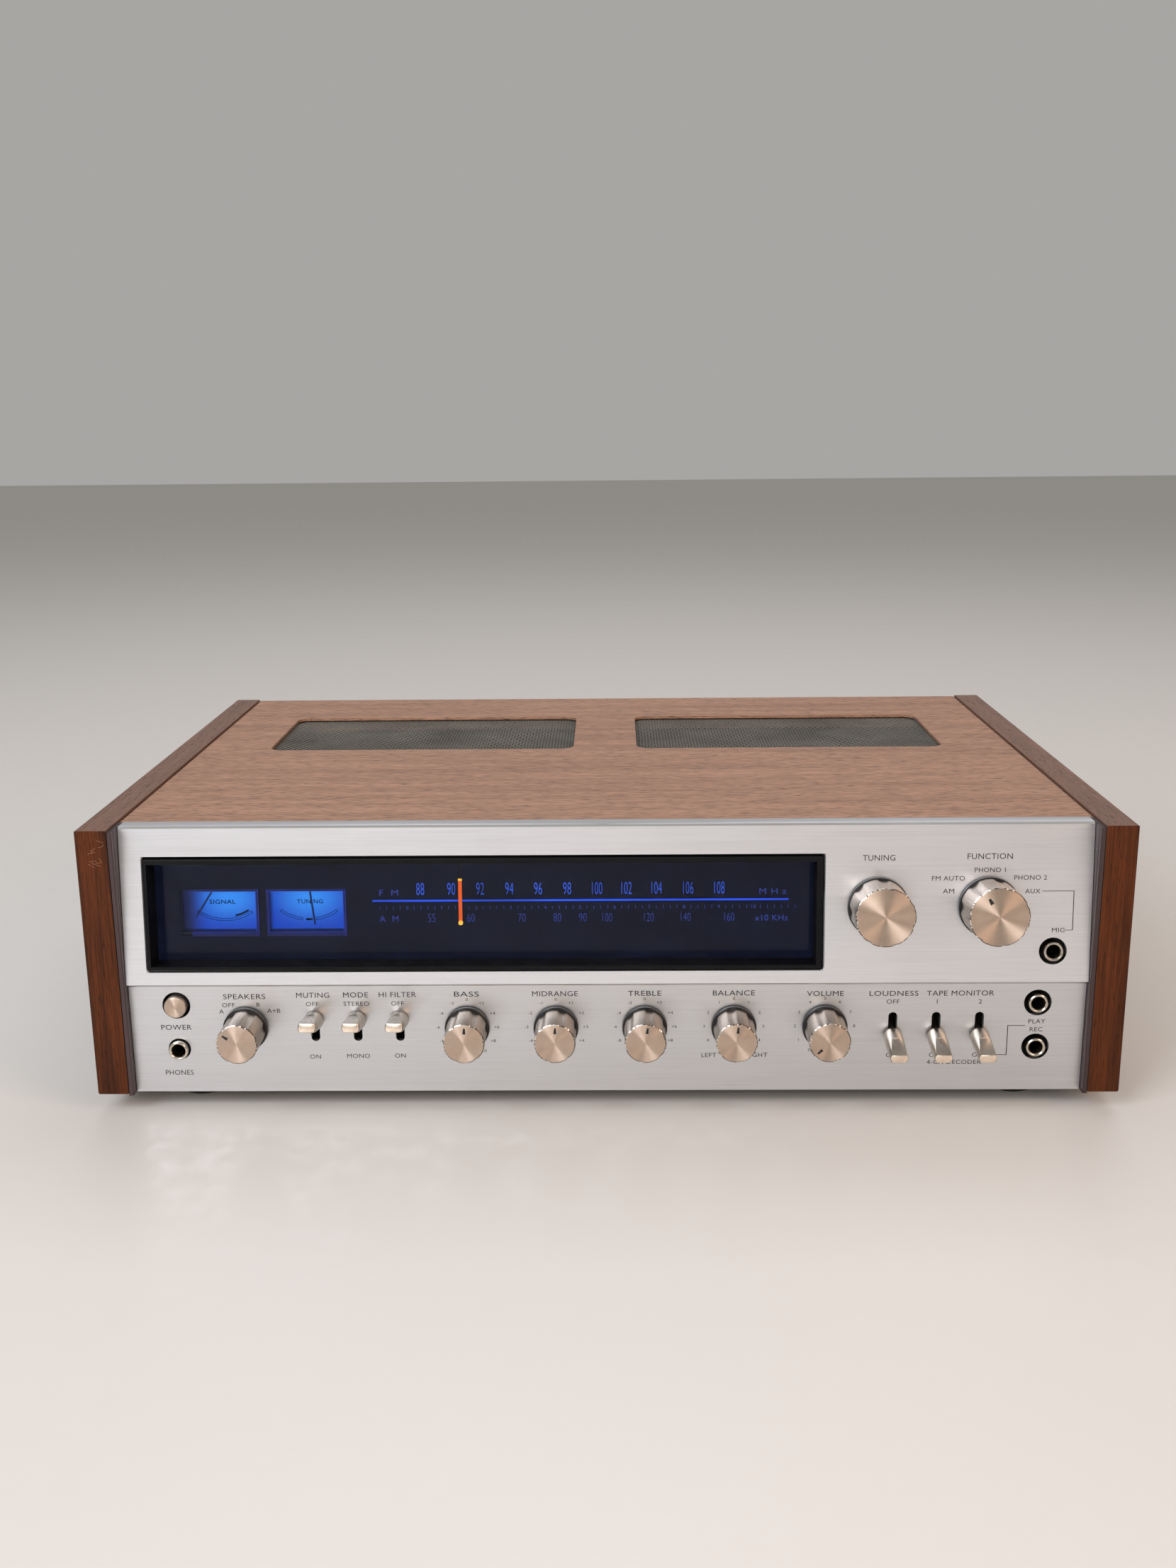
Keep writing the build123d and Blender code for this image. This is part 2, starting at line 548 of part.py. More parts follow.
with BuildPart() as jack_bodies:
    for plane, x, y, out in JACKS:
        disc(plane, x, y, JACK_COLLAR_R, CONTROL_FACE, -9.0)
        slab(plane, x, y, 13.0, 13.0, -36.0, CONTROL_FACE)
        disc(plane, x, y, JACK_BORE_R, -32.0, -8.0, Mode.SUBTRACT)
save(jack_bodies, "jack_bodies")

with BuildPart() as front_subpanel:
    with BuildSketch(LOWER.offset(SUBPANEL)):
        with Locations((0, 28.7)):
            Rectangle(462, 51)
        with Locations((-SIDE_X, UPPER_ROW)):
            Circle(6.5, mode=Mode.SUBTRACT)
        with Locations((-SIDE_X, UNDER_ROW), (SIDE_X, UPPER_ROW), (SIDE_X, UNDER_ROW)):
            Circle(JACK_COLLAR_R + 0.3, mode=Mode.SUBTRACT)
        with Locations(*[(x, ROW) for x in SMALL_KNOB_X.values()]):
            Circle(BUSHING_HOLE_R, mode=Mode.SUBTRACT)
        with Locations(*[(x, ROW) for x in LEVER_X.values()]):
            Rectangle(6.5, 13, mode=Mode.SUBTRACT)
    extrude(amount=-SHEET)
save(front_subpanel, "front_subpanel")

# ---- chassis ----
with BuildPart() as chassis:
    block((-231.5, 231.5), (9, REAR_PANEL), (FLOOR_Z, FLOOR_Z + SHEET))
    for side in (-1, 1):
        block(sorted((side * (231.5 - SHEET), side * 231.5)), (26, REAR_PANEL), (FLOOR_Z, 34))
    with BuildSketch(level(FLOOR_Z)):
        with Locations((-110, 236), (120, 236)):
            with GridLocations(14, 1, 7, 1):
                SlotOverall(46, 4, rotation=90)
    extrude(amount=SHEET, mode=Mode.SUBTRACT)
save(chassis, "chassis")

PHONO_X = [50 + 18 * k for k in range(8)]
PHONO_Z = (36, 60)
STRIPS = ((-140, 38, 84), (-140, 66, 84), (-20, 38, 62))   # centre x, centre z, length
GLAND = (-205, 22)
PIVOT_X, ROD_Z = -70.0, 104.0

REAR_FACE = Plane(origin=(0, FRONT + REAR_PANEL, BASE), x_dir=(-1, 0, 0), z_dir=(0, 1, 0))
with BuildPart() as rear_panel:
    with BuildSketch(REAR_FACE):
        with Locations((0, (FLOOR_Z + SHEET + 124) / 2)):
            Rectangle(463, 124 - FLOOR_Z - SHEET)
        with Locations(*[(-x, z) for x in PHONO_X for z in PHONO_Z]):
            Circle(4.3, mode=Mode.SUBTRACT)
        with Locations(*[(-x, z) for x, z, length in STRIPS]):
            Rectangle(30, 9, mode=Mode.SUBTRACT)
        with Locations((-GLAND[0], GLAND[1])):
            Circle(6.2, mode=Mode.SUBTRACT)
    extrude(amount=SHEET)
    slab(REAR_FACE, -PIVOT_X, ROD_Z + 9.0, 12.0, 3.0, SHEET, 17.0)
    slab(REAR_FACE, -PIVOT_X, ROD_Z - 9.0, 12.0, 3.0, SHEET, 17.0)
    with BuildSketch(level(ROD_Z + 11)):
        with Locations((PIVOT_X, REAR_PANEL + 11.5)):
            Circle(2.3)
    extrude(amount=-22, mode=Mode.SUBTRACT)
save(rear_panel, "rear_panel")

with BuildPart() as phono_sockets:
    for x in PHONO_X:
        for z in PHONO_Z:
            disc(REAR_FACE, -x, z, 4.1, -8.0, 10.0)
            disc(REAR_FACE, -x, z, 6.5, SHEET + 0.1, 2.6)
            disc(REAR_FACE, -x, z, 1.65, -4.0, 11.0, Mode.SUBTRACT)
save(phono_sockets, "phono_sockets")

with BuildPart() as screw_terminals:
    for x, z, length in STRIPS:
        slab(REAR_FACE, -x, z, length, 15.0, SHEET + 0.1, 5.0)
        slab(REAR_FACE, -x, z, 28.0, 8.0, -6.0, SHEET + 0.1)
        count = round(length / 20)
        for k in range(count):
            screw_x = -x + (k - (count - 1) / 2) * 19
            disc(REAR_FACE, screw_x, z, 3.4, 5.0, 8.0)
            slab(REAR_FACE, screw_x, z, 5.0, 0.9, 7.2, 8.1, Mode.SUBTRACT)
save(screw_terminals, "screw_terminals")

with BuildPart() as cord_gland:
    disc(REAR_FACE, -GLAND[0], GLAND[1], 6.0, -4.0, 6.0)
    disc(REAR_FACE, -GLAND[0], GLAND[1], 9.0, SHEET + 0.1, 4.0)
    disc(REAR_FACE, -GLAND[0], GLAND[1], 3.6, -5.0, 7.0, Mode.SUBTRACT)
save(cord_gland, "cord_gland")

with BuildPart() as antenna_rod:
    with BuildSketch(Plane.YZ.offset(PIVOT_X - 6)):
        with Locations((FRONT + REAR_PANEL + 11.5, BASE + ROD_Z)):
            Circle(5.2)
    extrude(amount=176)
    block((PIVOT_X - 5.5, PIVOT_X + 10), (REAR_PANEL + 5.5, REAR_PANEL + 17), (ROD_Z - 7, ROD_Z + 7))
    with BuildSketch(level(ROD_Z - 10.3)):
        with Locations((PIVOT_X, REAR_PANEL + 11.5)):
            Circle(2.0)
    extrude(amount=20.6)
save(antenna_rod, "antenna_rod")

# ---- works on the chassis ----
DECK = FLOOR_Z + SHEET
with BuildPart() as power_transformer:
    block((-150, -66), (204, 274), (DECK + 8, DECK + 62))
    block((-144, -72), (186, 292), (DECK + 17, DECK + 53))
    block((-158, -58), (214, 264), (DECK, DECK + 8))
save(power_transformer, "power_transformer")

with BuildPart() as filter_capacitors:
    with BuildSketch(level(DECK)):
        with Locations((-198, 196), (-198, 242)):
            Circle(18.0)
    extrude(amount=66)
    fillet(filter_capacitors.faces().group_by(Axis.Z)[-1].edges(), 2.0)
save(filter_capacitors, "filter_capacitors")

with BuildPart() as heat_sink:
    block((30, 200), (222, 228), (DECK, DECK + 68))
    for k in range(18):
        x = 34 + k * 9.5
        block((x, x + 2.2), (228, 262), (DECK, DECK + 68))
    with BuildSketch(Plane(origin=(0, FRONT + 222, BASE), x_dir=(1, 0, 0), z_dir=(0, -1, 0))):
        with Locations((62, 45), (98, 45), (134, 45), (170, 45)):
            SlotOverall(38, 25)
    extrude(amount=1.6)
    with BuildSketch(Plane(origin=(0, FRONT + 220.4, BASE), x_dir=(1, 0, 0), z_dir=(0, -1, 0))):
        with Locations((62, 45), (98, 45), (134, 45), (170, 45)):
            Circle(10)
    extrude(amount=6.4)
save(heat_sink, "heat_sink")

with BuildPart() as circuit_boards:
    block((-30, 210), (100, 206), (18, 19.6))
    block((-108, 74), (104, 178), (66, 67.6))
    for x, y in ((-22, 110), (200, 110), (-22, 196), (200, 196)):
        block((x - 3, x + 3), (y - 3, y + 3), (DECK, 18))
    for x, y in ((-102, 110), (-102, 172)):
        block((x - 3, x + 3), (y - 3, y + 3), (DECK, 66))
    block((65, 71), (168, 174), (19.6, 66))
    for k in range(6):
        with BuildSketch(level(19.6)):
            with Locations((92 + 18 * k, 130), (92 + 18 * k, 165)):
                Circle(5.5)
        extrude(amount=20)
    for k in range(4):
        block((-90 + 34 * k, -76 + 34 * k), (130, 144), (67.6, 82))
save(circuit_boards, "circuit_boards")

with BuildPart() as feet:
    for x in (-205, 205):
        for y in (34, 288):
            with BuildSketch(level(FLOOR_Z)):
                with Locations((x, y)):
                    Circle(15.0)
            extrude(amount=-FOOT_HEIGHT - FLOOR_Z, taper=6)
    fillet(feet.faces().group_by(Axis.Z)[0].edges(), 1.5)
save(feet, "feet")
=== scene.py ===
"""Looks of a stereo receiver: walnut case, two-step brushed fascia, lit dial window and its controls."""

import logging
import math
import random
from dataclasses import dataclass, field
from enum import Enum
from typing import Callable, Iterable, Optional, Sequence

import bmesh
import bpy
from mathutils import Matrix, Vector


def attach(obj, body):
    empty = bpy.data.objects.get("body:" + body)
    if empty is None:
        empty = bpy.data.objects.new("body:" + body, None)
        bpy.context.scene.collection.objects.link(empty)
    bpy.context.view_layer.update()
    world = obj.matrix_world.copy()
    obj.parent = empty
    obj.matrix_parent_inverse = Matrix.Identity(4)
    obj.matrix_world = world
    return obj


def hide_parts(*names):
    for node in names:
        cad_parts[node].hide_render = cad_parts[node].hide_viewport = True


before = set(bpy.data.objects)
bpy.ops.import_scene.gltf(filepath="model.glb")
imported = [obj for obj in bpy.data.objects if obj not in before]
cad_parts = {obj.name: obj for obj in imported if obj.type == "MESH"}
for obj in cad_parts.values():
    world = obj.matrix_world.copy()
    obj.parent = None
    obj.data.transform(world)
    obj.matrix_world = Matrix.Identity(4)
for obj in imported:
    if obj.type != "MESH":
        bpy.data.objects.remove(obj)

log = logging.getLogger("receiver")

MM = 0.001
FRONT = -155.09
FOOT_HEIGHT = 10.0
Rgba = tuple[float, float, float, float]
Point = tuple[float, float]
Point3 = tuple[float, float, float]
Ring = list[tuple[float, float, float]]


def linear(hex_colour: str) -> Rgba:
    """Turn an sRGB hex colour into a linear one.

    Args:
        hex_colour: colour written as #rrggbb.

    Returns:
        Linear red, green, blue and an alpha of 1.
    """
    channels = [int(hex_colour[i : i + 2], 16) / 255 for i in (1, 3, 5)]
    red, green, blue = (c / 12.92 if c <= 0.04045 else ((c + 0.055) / 1.055) ** 2.4 for c in channels)
    return (red, green, blue, 1.0)


# ---- planes of the two fascia panels ----
@dataclass(frozen=True)
class Panel:
    """A flat datum: x to the right, y up the panel and z out of it, in millimetres."""

    origin: tuple[float, float, float]
    lean: float
    facing: float = 1.0

    def matrix(self, x: float = 0.0, y: float = 0.0, out: float = 0.0) -> Matrix:
        """Place a piece made in millimetres about its own origin on the panel.

        Args:
            x: distance to the right of the panel's middle.
            y: distance up the panel.
            out: distance out of the panel.

        Returns:
            The matrix from the piece's millimetres to the model's metres.
        """
        across = Vector((self.facing, 0, 0))
        up = Vector((0, self.facing * math.sin(self.lean), math.cos(self.lean)))
        normal = across.cross(up)
        place = Vector(self.origin) + across * x + up * y + normal * out
        turn = Matrix((across, up, normal)).transposed().to_4x4()
        return Matrix.Translation(place * MM) @ turn @ Matrix.Scale(MM, 4)


UPPER_SLOPE = (7.2, 77.7)
UPPER = Panel((0, FRONT + 2.3, FOOT_HEIGHT + 56.0), math.atan2(*UPPER_SLOPE))
LOWER = Panel((0, FRONT + 5.0, FOOT_HEIGHT), 0.0)
REAR = Panel((0, FRONT + 307.2, FOOT_HEIGHT), 0.0, facing=-1.0)
PRINT_LIFT = 0.01
PRINT_THICK = 0.03
KNOB_ROW = 32.7
BIG_KNOB_ROW = 37.4
RING_KNOBS = {"bass": -67.3, "midrange": -24.0, "treble": 19.2, "balance": 62.5, "volume": 106.6}
CASE = Matrix.Translation((0, FRONT * MM, FOOT_HEIGHT * MM)) @ Matrix.Scale(MM, 4)


class Slot(Enum):
    """The record's material slots, passed along with the new pieces but not given to them."""

    WALNUT = "walnut"
    MESH = "vent_mesh"
    FASCIA = "fascia_aluminium"
    DIAL = "dial_black"
    POINTER = "pointer_orange"
    KNOB = "knob_aluminium"
    LEVER = "lever_chrome"
    REAR = "rear_paint"


# ---- node building ----
def put(
    tree: bpy.types.NodeTree, kind: str, inputs: Optional[dict] = None, **settings: object
) -> bpy.types.Node:
    """Add a node with its settings and links.

    Args:
        tree: node tree to add to.
        kind: node type.
        inputs: socket name or number to a value, or to an output socket that feeds it.
        settings: the node's own properties.

    Returns:
        The new node.
    """
    node = tree.nodes.new(kind)
    for name, value in settings.items():
        setattr(node, name, value)
    for name, value in (inputs or {}).items():
        if isinstance(value, bpy.types.NodeSocket):
            tree.links.new(value, node.inputs[name])
        else:
            node.inputs[name].default_value = value
    return node


def grain(
    tree: bpy.types.NodeTree,
    coords: bpy.types.NodeSocket,
    cell: tuple[float, float, float],
    window: tuple[float, float] = (0.3, 0.7),
    spread: tuple[float, float] = (0.0, 1.0),
    detail: float = 2.0,
) -> bpy.types.NodeSocket:
    """Noise stretched to a real size.

    Args:
        tree: node tree to add to.
        coords: coordinates in metres.
        cell: size of one speck along x, y and z, in millimetres.
        window: noise values that become the two ends of the spread.
        spread: range of the result.
        detail: octaves of finer noise inside each speck.

    Returns:
        A value between the two ends of the spread.
    """
    scale = tuple(1000.0 / c for c in cell)
    placed = put(tree, "ShaderNodeMapping", {"Vector": coords, "Scale": scale})
    noise = put(tree, "ShaderNodeTexNoise", {"Vector": placed.outputs[0], "Scale": 1.0, "Detail": detail})
    ends = {"From Min": window[0], "From Max": window[1], "To Min": spread[0], "To Max": spread[1]}
    return put(tree, "ShaderNodeMapRange", {"Value": noise.outputs[0], **ends}).outputs[0]


@dataclass(frozen=True)
class Finish:
    """A surface finish; each kind fills the nodes of its own material."""

    name: str

    def fill(self, tree: bpy.types.NodeTree, coords: bpy.types.NodeSocket) -> bpy.types.NodeSocket:
        """Add the finish's nodes.

        Args:
            tree: the material's node tree.
            coords: Object coordinates in metres.

        Returns:
            The shader's output.
        """
        raise NotImplementedError

    def material(self) -> bpy.types.Material:
        """Return the finish's material, made the first time it is asked for."""
        known = bpy.data.materials.get(self.name)
        if known:
            return known
        made = bpy.data.materials.new(self.name)
        made.use_nodes = True
        tree = made.node_tree
        tree.nodes.clear()
        coords = put(tree, "ShaderNodeTexCoord").outputs["Object"]
        put(tree, "ShaderNodeOutputMaterial", {"Surface": self.fill(tree, coords)})
        return made


@dataclass(frozen=True)
class Walnut(Finish):
    """Oiled walnut veneer: long fine grain, dark open pores and slow changes of tone."""

    light: str
    dark: str
    pore: str
    along: int
    gloss: float = 0.5
    open_pore: tuple[float, float] = (0.60, 0.72)
    figure: tuple[float, float] = (0.3, 0.7)
    dash: tuple[float, float] = (9.0, 0.6)
    fibre: tuple[float, float] = (34.0, 0.8)
    ior: float = 1.5

    def cell(self, length: float, width: float) -> tuple[float, float, float]:
        """Size of a speck that lies along the grain, in millimetres."""
        sizes = [width, width, width]
        sizes[self.along] = length
        return (sizes[0], sizes[1], sizes[2])

    def fill(self, tree: bpy.types.NodeTree, coords: bpy.types.NodeSocket) -> bpy.types.NodeSocket:
        """Add the nodes: figure, fine grain and pores in colour, pores in bump."""
        figure = grain(tree, coords, self.cell(150, 7), window=self.figure, detail=3)
        fine = grain(tree, coords, self.cell(*self.fibre), window=(0.36, 0.64), detail=4)
        # Pores are a quarter of a millimetre wide in the wood, and drawn about twice that to show.
        pores = grain(tree, coords, self.cell(*self.dash), window=self.open_pore, detail=1)
        mixed = put(tree, "ShaderNodeMix", {0: 0.55, 2: figure, 3: fine}, data_type="FLOAT").outputs[0]
        tone = {0: mixed, 6: linear(self.dark), 7: linear(self.light)}
        wood = put(tree, "ShaderNodeMix", tone, data_type="RGBA").outputs[2]
        shade = {0: pores, 6: wood, 7: linear(self.pore)}
        colour = put(tree, "ShaderNodeMix", shade, data_type="RGBA").outputs[2]
        height = put(tree, "ShaderNodeMix", {0: pores, 2: fine, 3: -1.5}, data_type="FLOAT").outputs[0]
        bump = put(tree, "ShaderNodeBump", {"Height": height, "Strength": 0.5, "Distance": 0.00006})
        rough = grain(tree, coords, self.cell(18, 2.0), spread=(self.gloss - 0.07, self.gloss + 0.09))
        look = {"Base Color": colour, "Roughness": rough, "Normal": bump.outputs[0], "IOR": self.ior}
        return put(tree, "ShaderNodeBsdfPrincipled", look).outputs[0]


@dataclass(frozen=True)
class BrushedAluminium(Finish):
    """Aluminium brushed in one direction and clear anodised: fine parallel lines, soft long highlights."""

    light: str = "#d9d6d2"
    dark: str = "#c3c0bc"
    along: int = 0
    rough: float = 0.36
    stretch: float = 0.0
    marks: float = 0.25

    def fill(self, tree: bpy.types.NodeTree, coords: bpy.types.NodeSocket) -> bpy.types.NodeSocket:
        """Add the nodes: two widths of brushed line, a broad handling haze and light bump."""
        long_cell, short_cell = [0.5, 0.5, 0.5], [0.22, 0.22, 0.22]
        long_cell[self.along], short_cell[self.along] = 90.0, 22.0
        # Real brush lines are a twentieth of a millimetre wide, and these are coarser so that they show.
        lines = grain(tree, coords, tuple(long_cell), detail=3)
        hairs = grain(tree, coords, tuple(short_cell), detail=1)
        haze = grain(tree, coords, (70, 70, 40), detail=3)
        mixed = put(tree, "ShaderNodeMix", {0: 0.45, 2: lines, 3: hairs}, data_type="FLOAT").outputs[0]
        tone = {0: mixed, 6: linear(self.dark), 7: linear(self.light)}
        colour = put(tree, "ShaderNodeMix", tone, data_type="RGBA").outputs[2]
        blended = put(tree, "ShaderNodeMix", {0: self.marks, 2: mixed, 3: haze}, data_type="FLOAT").outputs[0]
        ends = {"Value": blended, "To Min": self.rough - 0.05, "To Max": self.rough + 0.06}
        rough = put(tree, "ShaderNodeMapRange", ends).outputs[0]
        bump = put(tree, "ShaderNodeBump", {"Height": mixed, "Strength": 0.35, "Distance": 0.000012})
        look = {"Base Color": colour, "Metallic": 1.0, "Roughness": rough, "Normal": bump.outputs[0]}
        shader = put(tree, "ShaderNodeBsdfPrincipled", look)
        shader.inputs["Anisotropic"].default_value = self.stretch
        return shader.outputs[0]


@dataclass(frozen=True)
class SpunAluminium(Finish):
    """Aluminium faced on a lathe and lacquered: fine rings that throw highlights out as wedges."""

    light: str = "#cdb9a8"
    dark: str = "#b5a08f"

    def fill(self, tree: bpy.types.NodeTree, coords: bpy.types.NodeSocket) -> bpy.types.NodeSocket:
        """Add the nodes: rings from the UV map's radius, wedges from its angle."""
        polar = put(tree, "ShaderNodeUVMap", uv_map="spin").outputs[0]
        # Radius is in millimetres in the map; rings are 0.15 mm wide, coarser than the tool marks.
        rings_at = put(tree, "ShaderNodeMapping", {"Vector": polar, "Scale": (6.5, 2.0, 1.0)}).outputs[0]
        rings = put(tree, "ShaderNodeTexNoise", {"Vector": rings_at, "Scale": 1.0, "Detail": 2.0}).outputs[0]
        wear = grain(tree, coords, (5, 5, 5), detail=4)
        mixed = put(tree, "ShaderNodeMix", {0: 0.35, 2: rings, 3: wear}, data_type="FLOAT").outputs[0]
        tone = {0: mixed, 6: linear(self.dark), 7: linear(self.light)}
        colour = put(tree, "ShaderNodeMix", tone, data_type="RGBA").outputs[2]
        radial = put(tree, "ShaderNodeTangent", direction_type="UV_MAP", uv_map="spin").outputs[0]
        bump = put(tree, "ShaderNodeBump", {"Height": rings, "Strength": 0.3, "Distance": 0.000008})
        look = {
            "Base Color": colour,
            "Metallic": 1.0,
            "Roughness": 0.36,
            "Anisotropic": 0.94,
            "Tangent": radial,
            "Normal": bump.outputs[0],
        }
        return put(tree, "ShaderNodeBsdfPrincipled", look).outputs[0]


@dataclass(frozen=True)
class Metal(Finish):
    """Plain metal, plated or turned: small changes of tone and a fine satin scatter."""

    light: str
    dark: str
    rough: float
    cell: tuple[float, float, float] = (3.0, 3.0, 3.0)
    metallic: float = 1.0
    dent: float = 0.00001

    def fill(self, tree: bpy.types.NodeTree, coords: bpy.types.NodeSocket) -> bpy.types.NodeSocket:
        """Add the nodes: cloudy tone, roughness that follows it and fine bump."""
        cloud = grain(tree, coords, self.cell, detail=4)
        fine = grain(tree, coords, (0.4, 0.4, 0.4), detail=1)
        tone = {0: cloud, 6: linear(self.dark), 7: linear(self.light)}
        colour = put(tree, "ShaderNodeMix", tone, data_type="RGBA").outputs[2]
        ends = {"Value": cloud, "To Min": self.rough + 0.05, "To Max": self.rough - 0.04}
        rough = put(tree, "ShaderNodeMapRange", ends).outputs[0]
        bump = put(tree, "ShaderNodeBump", {"Height": fine, "Strength": 0.4, "Distance": self.dent})
        look = {"Base Color": colour, "Roughness": rough, "Normal": bump.outputs[0]}
        look["Metallic"] = self.metallic
        return put(tree, "ShaderNodeBsdfPrincipled", look).outputs[0]


@dataclass(frozen=True)
class Moulded(Finish):
    """Moulded or painted surface: even colour, fine texture, a little settled dust."""

    colour: str
    rough: float = 0.5
    dust: float = 0.15
    texture: float = 0.35
    depth: float = 0.00002
    ior: float = 1.46

    def fill(self, tree: bpy.types.NodeTree, coords: bpy.types.NodeSocket) -> bpy.types.NodeSocket:
        """Add the nodes: colour with specks of dust, texture bump and uneven gloss."""
        base = linear(self.colour)
        dusty = tuple(c + (0.3 - c) * 0.35 for c in base[:3]) + (1.0,)
        specks = grain(tree, coords, (0.7, 0.7, 0.7), window=(0.66, 0.74), spread=(0.0, self.dust), detail=2)
        film = grain(tree, coords, (25, 25, 25), spread=(0.0, self.dust * 0.35), detail=3)
        amount = put(tree, "ShaderNodeMath", {0: specks, 1: film}, operation="ADD").outputs[0]
        colour = put(tree, "ShaderNodeMix", {0: amount, 6: base, 7: dusty}, data_type="RGBA").outputs[2]
        skin = grain(tree, coords, (self.texture,) * 3, detail=2)
        bump = put(tree, "ShaderNodeBump", {"Height": skin, "Strength": 0.5, "Distance": self.depth})
        gloss = grain(tree, coords, (12, 12, 12), spread=(self.rough - 0.05, self.rough + 0.08), detail=3)
        look = {"Base Color": colour, "Roughness": gloss, "Normal": bump.outputs[0], "IOR": self.ior}
        return put(tree, "ShaderNodeBsdfPrincipled", look).outputs[0]


@dataclass(frozen=True)
class SmokedAcrylic(Finish):
    """Clear acrylic window, faintly smoked, with a film of dust."""

    tint: str = "#c3cbe0"

    def fill(self, tree: bpy.types.NodeTree, coords: bpy.types.NodeSocket) -> bpy.types.NodeSocket:
        """Add the nodes: a clear tinted shader with uneven polish."""
        # The low IOR keeps the dial dark, as the bloomed outer face does.
        polish = grain(tree, coords, (30, 30, 30), spread=(0.0, 0.012), detail=4)
        look = {
            "Base Color": linear(self.tint),
            "Roughness": polish,
            "IOR": 1.2,
            "Transmission Weight": 1.0,
        }
        return put(tree, "ShaderNodeBsdfPrincipled", look).outputs[0]


@dataclass(frozen=True)
class Glow(Finish):
    """Print or plastic lit from behind."""

    colour: str
    strength: float
    body: str = "#0a0e18"
    ior: float = 1.5

    def fill(self, tree: bpy.types.NodeTree, coords: bpy.types.NodeSocket) -> bpy.types.NodeSocket:
        """Add the nodes: light that is a little uneven along the print."""
        patch = grain(tree, coords, (28, 28, 12), spread=(0.55, 1.0), detail=2)
        lit = {0: patch, 6: (0.0, 0.0, 0.0, 1.0), 7: linear(self.colour)}
        colour = put(tree, "ShaderNodeMix", lit, data_type="RGBA").outputs[2]
        look = {
            "Base Color": linear(self.body),
            "Roughness": 0.4,
            "IOR": self.ior,
            "Emission Color": colour,
            "Emission Strength": self.strength,
        }
        return put(tree, "ShaderNodeBsdfPrincipled", look).outputs[0]


@dataclass(frozen=True)
class MeterGlow(Finish):
    """Translucent meter scale with a lamp behind it: bright in the middle, dark to one side."""

    centre: Point
    shade: Point
    middle: str = "#38a2ff"
    edge: str = "#064cc4"
    unlit: str = "#06123c"
    strength: float = 1.2

    def fill(self, tree: bpy.types.NodeTree, coords: bpy.types.NodeSocket) -> bpy.types.NodeSocket:
        """Add the nodes: a round falloff and a fade to one side, both on the piece's UV map."""
        placed = put(tree, "ShaderNodeUVMap", uv_map="scale").outputs[0]
        lamp = (-self.centre[0], -self.centre[1], 0)
        about = put(tree, "ShaderNodeMapping", {"Vector": placed, "Location": lamp}).outputs[0]
        sized = put(tree, "ShaderNodeMapping", {"Vector": about, "Scale": (1.0, 1.15, 0)}).outputs[0]
        reach = put(tree, "ShaderNodeVectorMath", {0: sized}, operation="LENGTH").outputs["Value"]
        ends = {"Value": reach, "From Min": 0.02, "From Max": 0.62}
        fall = put(tree, "ShaderNodeMapRange", ends, interpolation_type="SMOOTHSTEP").outputs[0]
        body = {0: fall, 6: linear(self.middle), 7: linear(self.edge)}
        colour = put(tree, "ShaderNodeMix", body, data_type="RGBA").outputs[2]
        parts = put(tree, "ShaderNodeSeparateXYZ", {0: placed})
        ends = {"Value": parts.outputs[0], "From Min": self.shade[1], "From Max": self.shade[0]}
        dark = put(tree, "ShaderNodeMapRange", ends, interpolation_type="SMOOTHSTEP").outputs[0]
        faded = {0: dark, 6: colour, 7: linear(self.unlit)}
        lit = put(tree, "ShaderNodeMix", faded, data_type="RGBA").outputs[2]
        cloth = grain(tree, coords, (0.5, 0.5, 0.5), spread=(0.93, 1.0), detail=2)
        uneven = {0: cloth, 6: (0.0, 0.0, 0.0, 1.0), 7: lit}
        shown = put(tree, "ShaderNodeMix", uneven, data_type="RGBA").outputs[2]
        look = {
            "Base Color": linear("#0a1030"),
            "Roughness": 0.5,
            "Emission Color": shown,
            "Emission Strength": self.strength,
        }
        return put(tree, "ShaderNodeBsdfPrincipled", look).outputs[0]


# ---- the receiver's finishes ----
# Oiled walnut: the top veneer runs side to side, the cheeks run front to back, their front edges stand.
TOP_WALNUT = Walnut(
    "walnut_veneer_top", "#a98066", "#7a5741", "#46301f", along=0,
    open_pore=(0.52, 0.74), dash=(6.0, 0.55), fibre=(15.0, 0.7),
)
CHEEK_WALNUT = Walnut("walnut_cheek", "#735241", "#583c2d", "#2e1c12", along=1, gloss=0.5)
EDGE_WALNUT = Walnut(
    "walnut_edge_lipping", "#562a10", "#2c1407", "#170903", along=2, gloss=0.46,
    open_pore=(0.58, 0.84), figure=(0.4, 0.6), dash=(7.0, 0.5), ior=1.24,
)
# Brushed and clear anodised: pale panels with soft streaks, the lower one darkened a little as painted shade,
# edges cut bright.
FASCIA = BrushedAluminium("brushed_anodised_aluminium", "#e6e7eb", "#dadbdf", stretch=0.5)
# The lower panel's slightly darker colours are painted shade; its metal is the same as the upper panel's.
LOWER_FASCIA = BrushedAluminium("brushed_anodised_lower_panel_painted_shade", "#d7d8da", "#cacbce", stretch=0.5)
FASCIA_EDGE = BrushedAluminium("machined_aluminium_edge", "#f6f5f3", "#e6e4e1", rough=0.2)
# Knobs: champagne faces with two bright wedges, duller sides, and a rim darkened as painted shade, whose
# bright facets are partly random chips of bare metal and partly a painted highlight towards the upper left.
SPUN = SpunAluminium("spun_lacquered_aluminium")
SATIN = BrushedAluminium("satin_turned_aluminium", "#b4aaa0", "#988f86", along=1, rough=0.42)
# The knob chamfer's dark colour is painted shade; the bright rim colour is for worn chips and for a painted
# highlight.
RIM_SHADE = Metal("knob_chamfer_painted_shade", "#6a6058", "#4c443d", 0.3, (1.2, 1.2, 1.2))
RIM_CHIPS_AND_HIGHLIGHT = Metal("rim_worn_chips_and_painted_highlight", "#fbf6ef", "#b9b0a6", 0.18, (1.2, 1.2, 1.2))
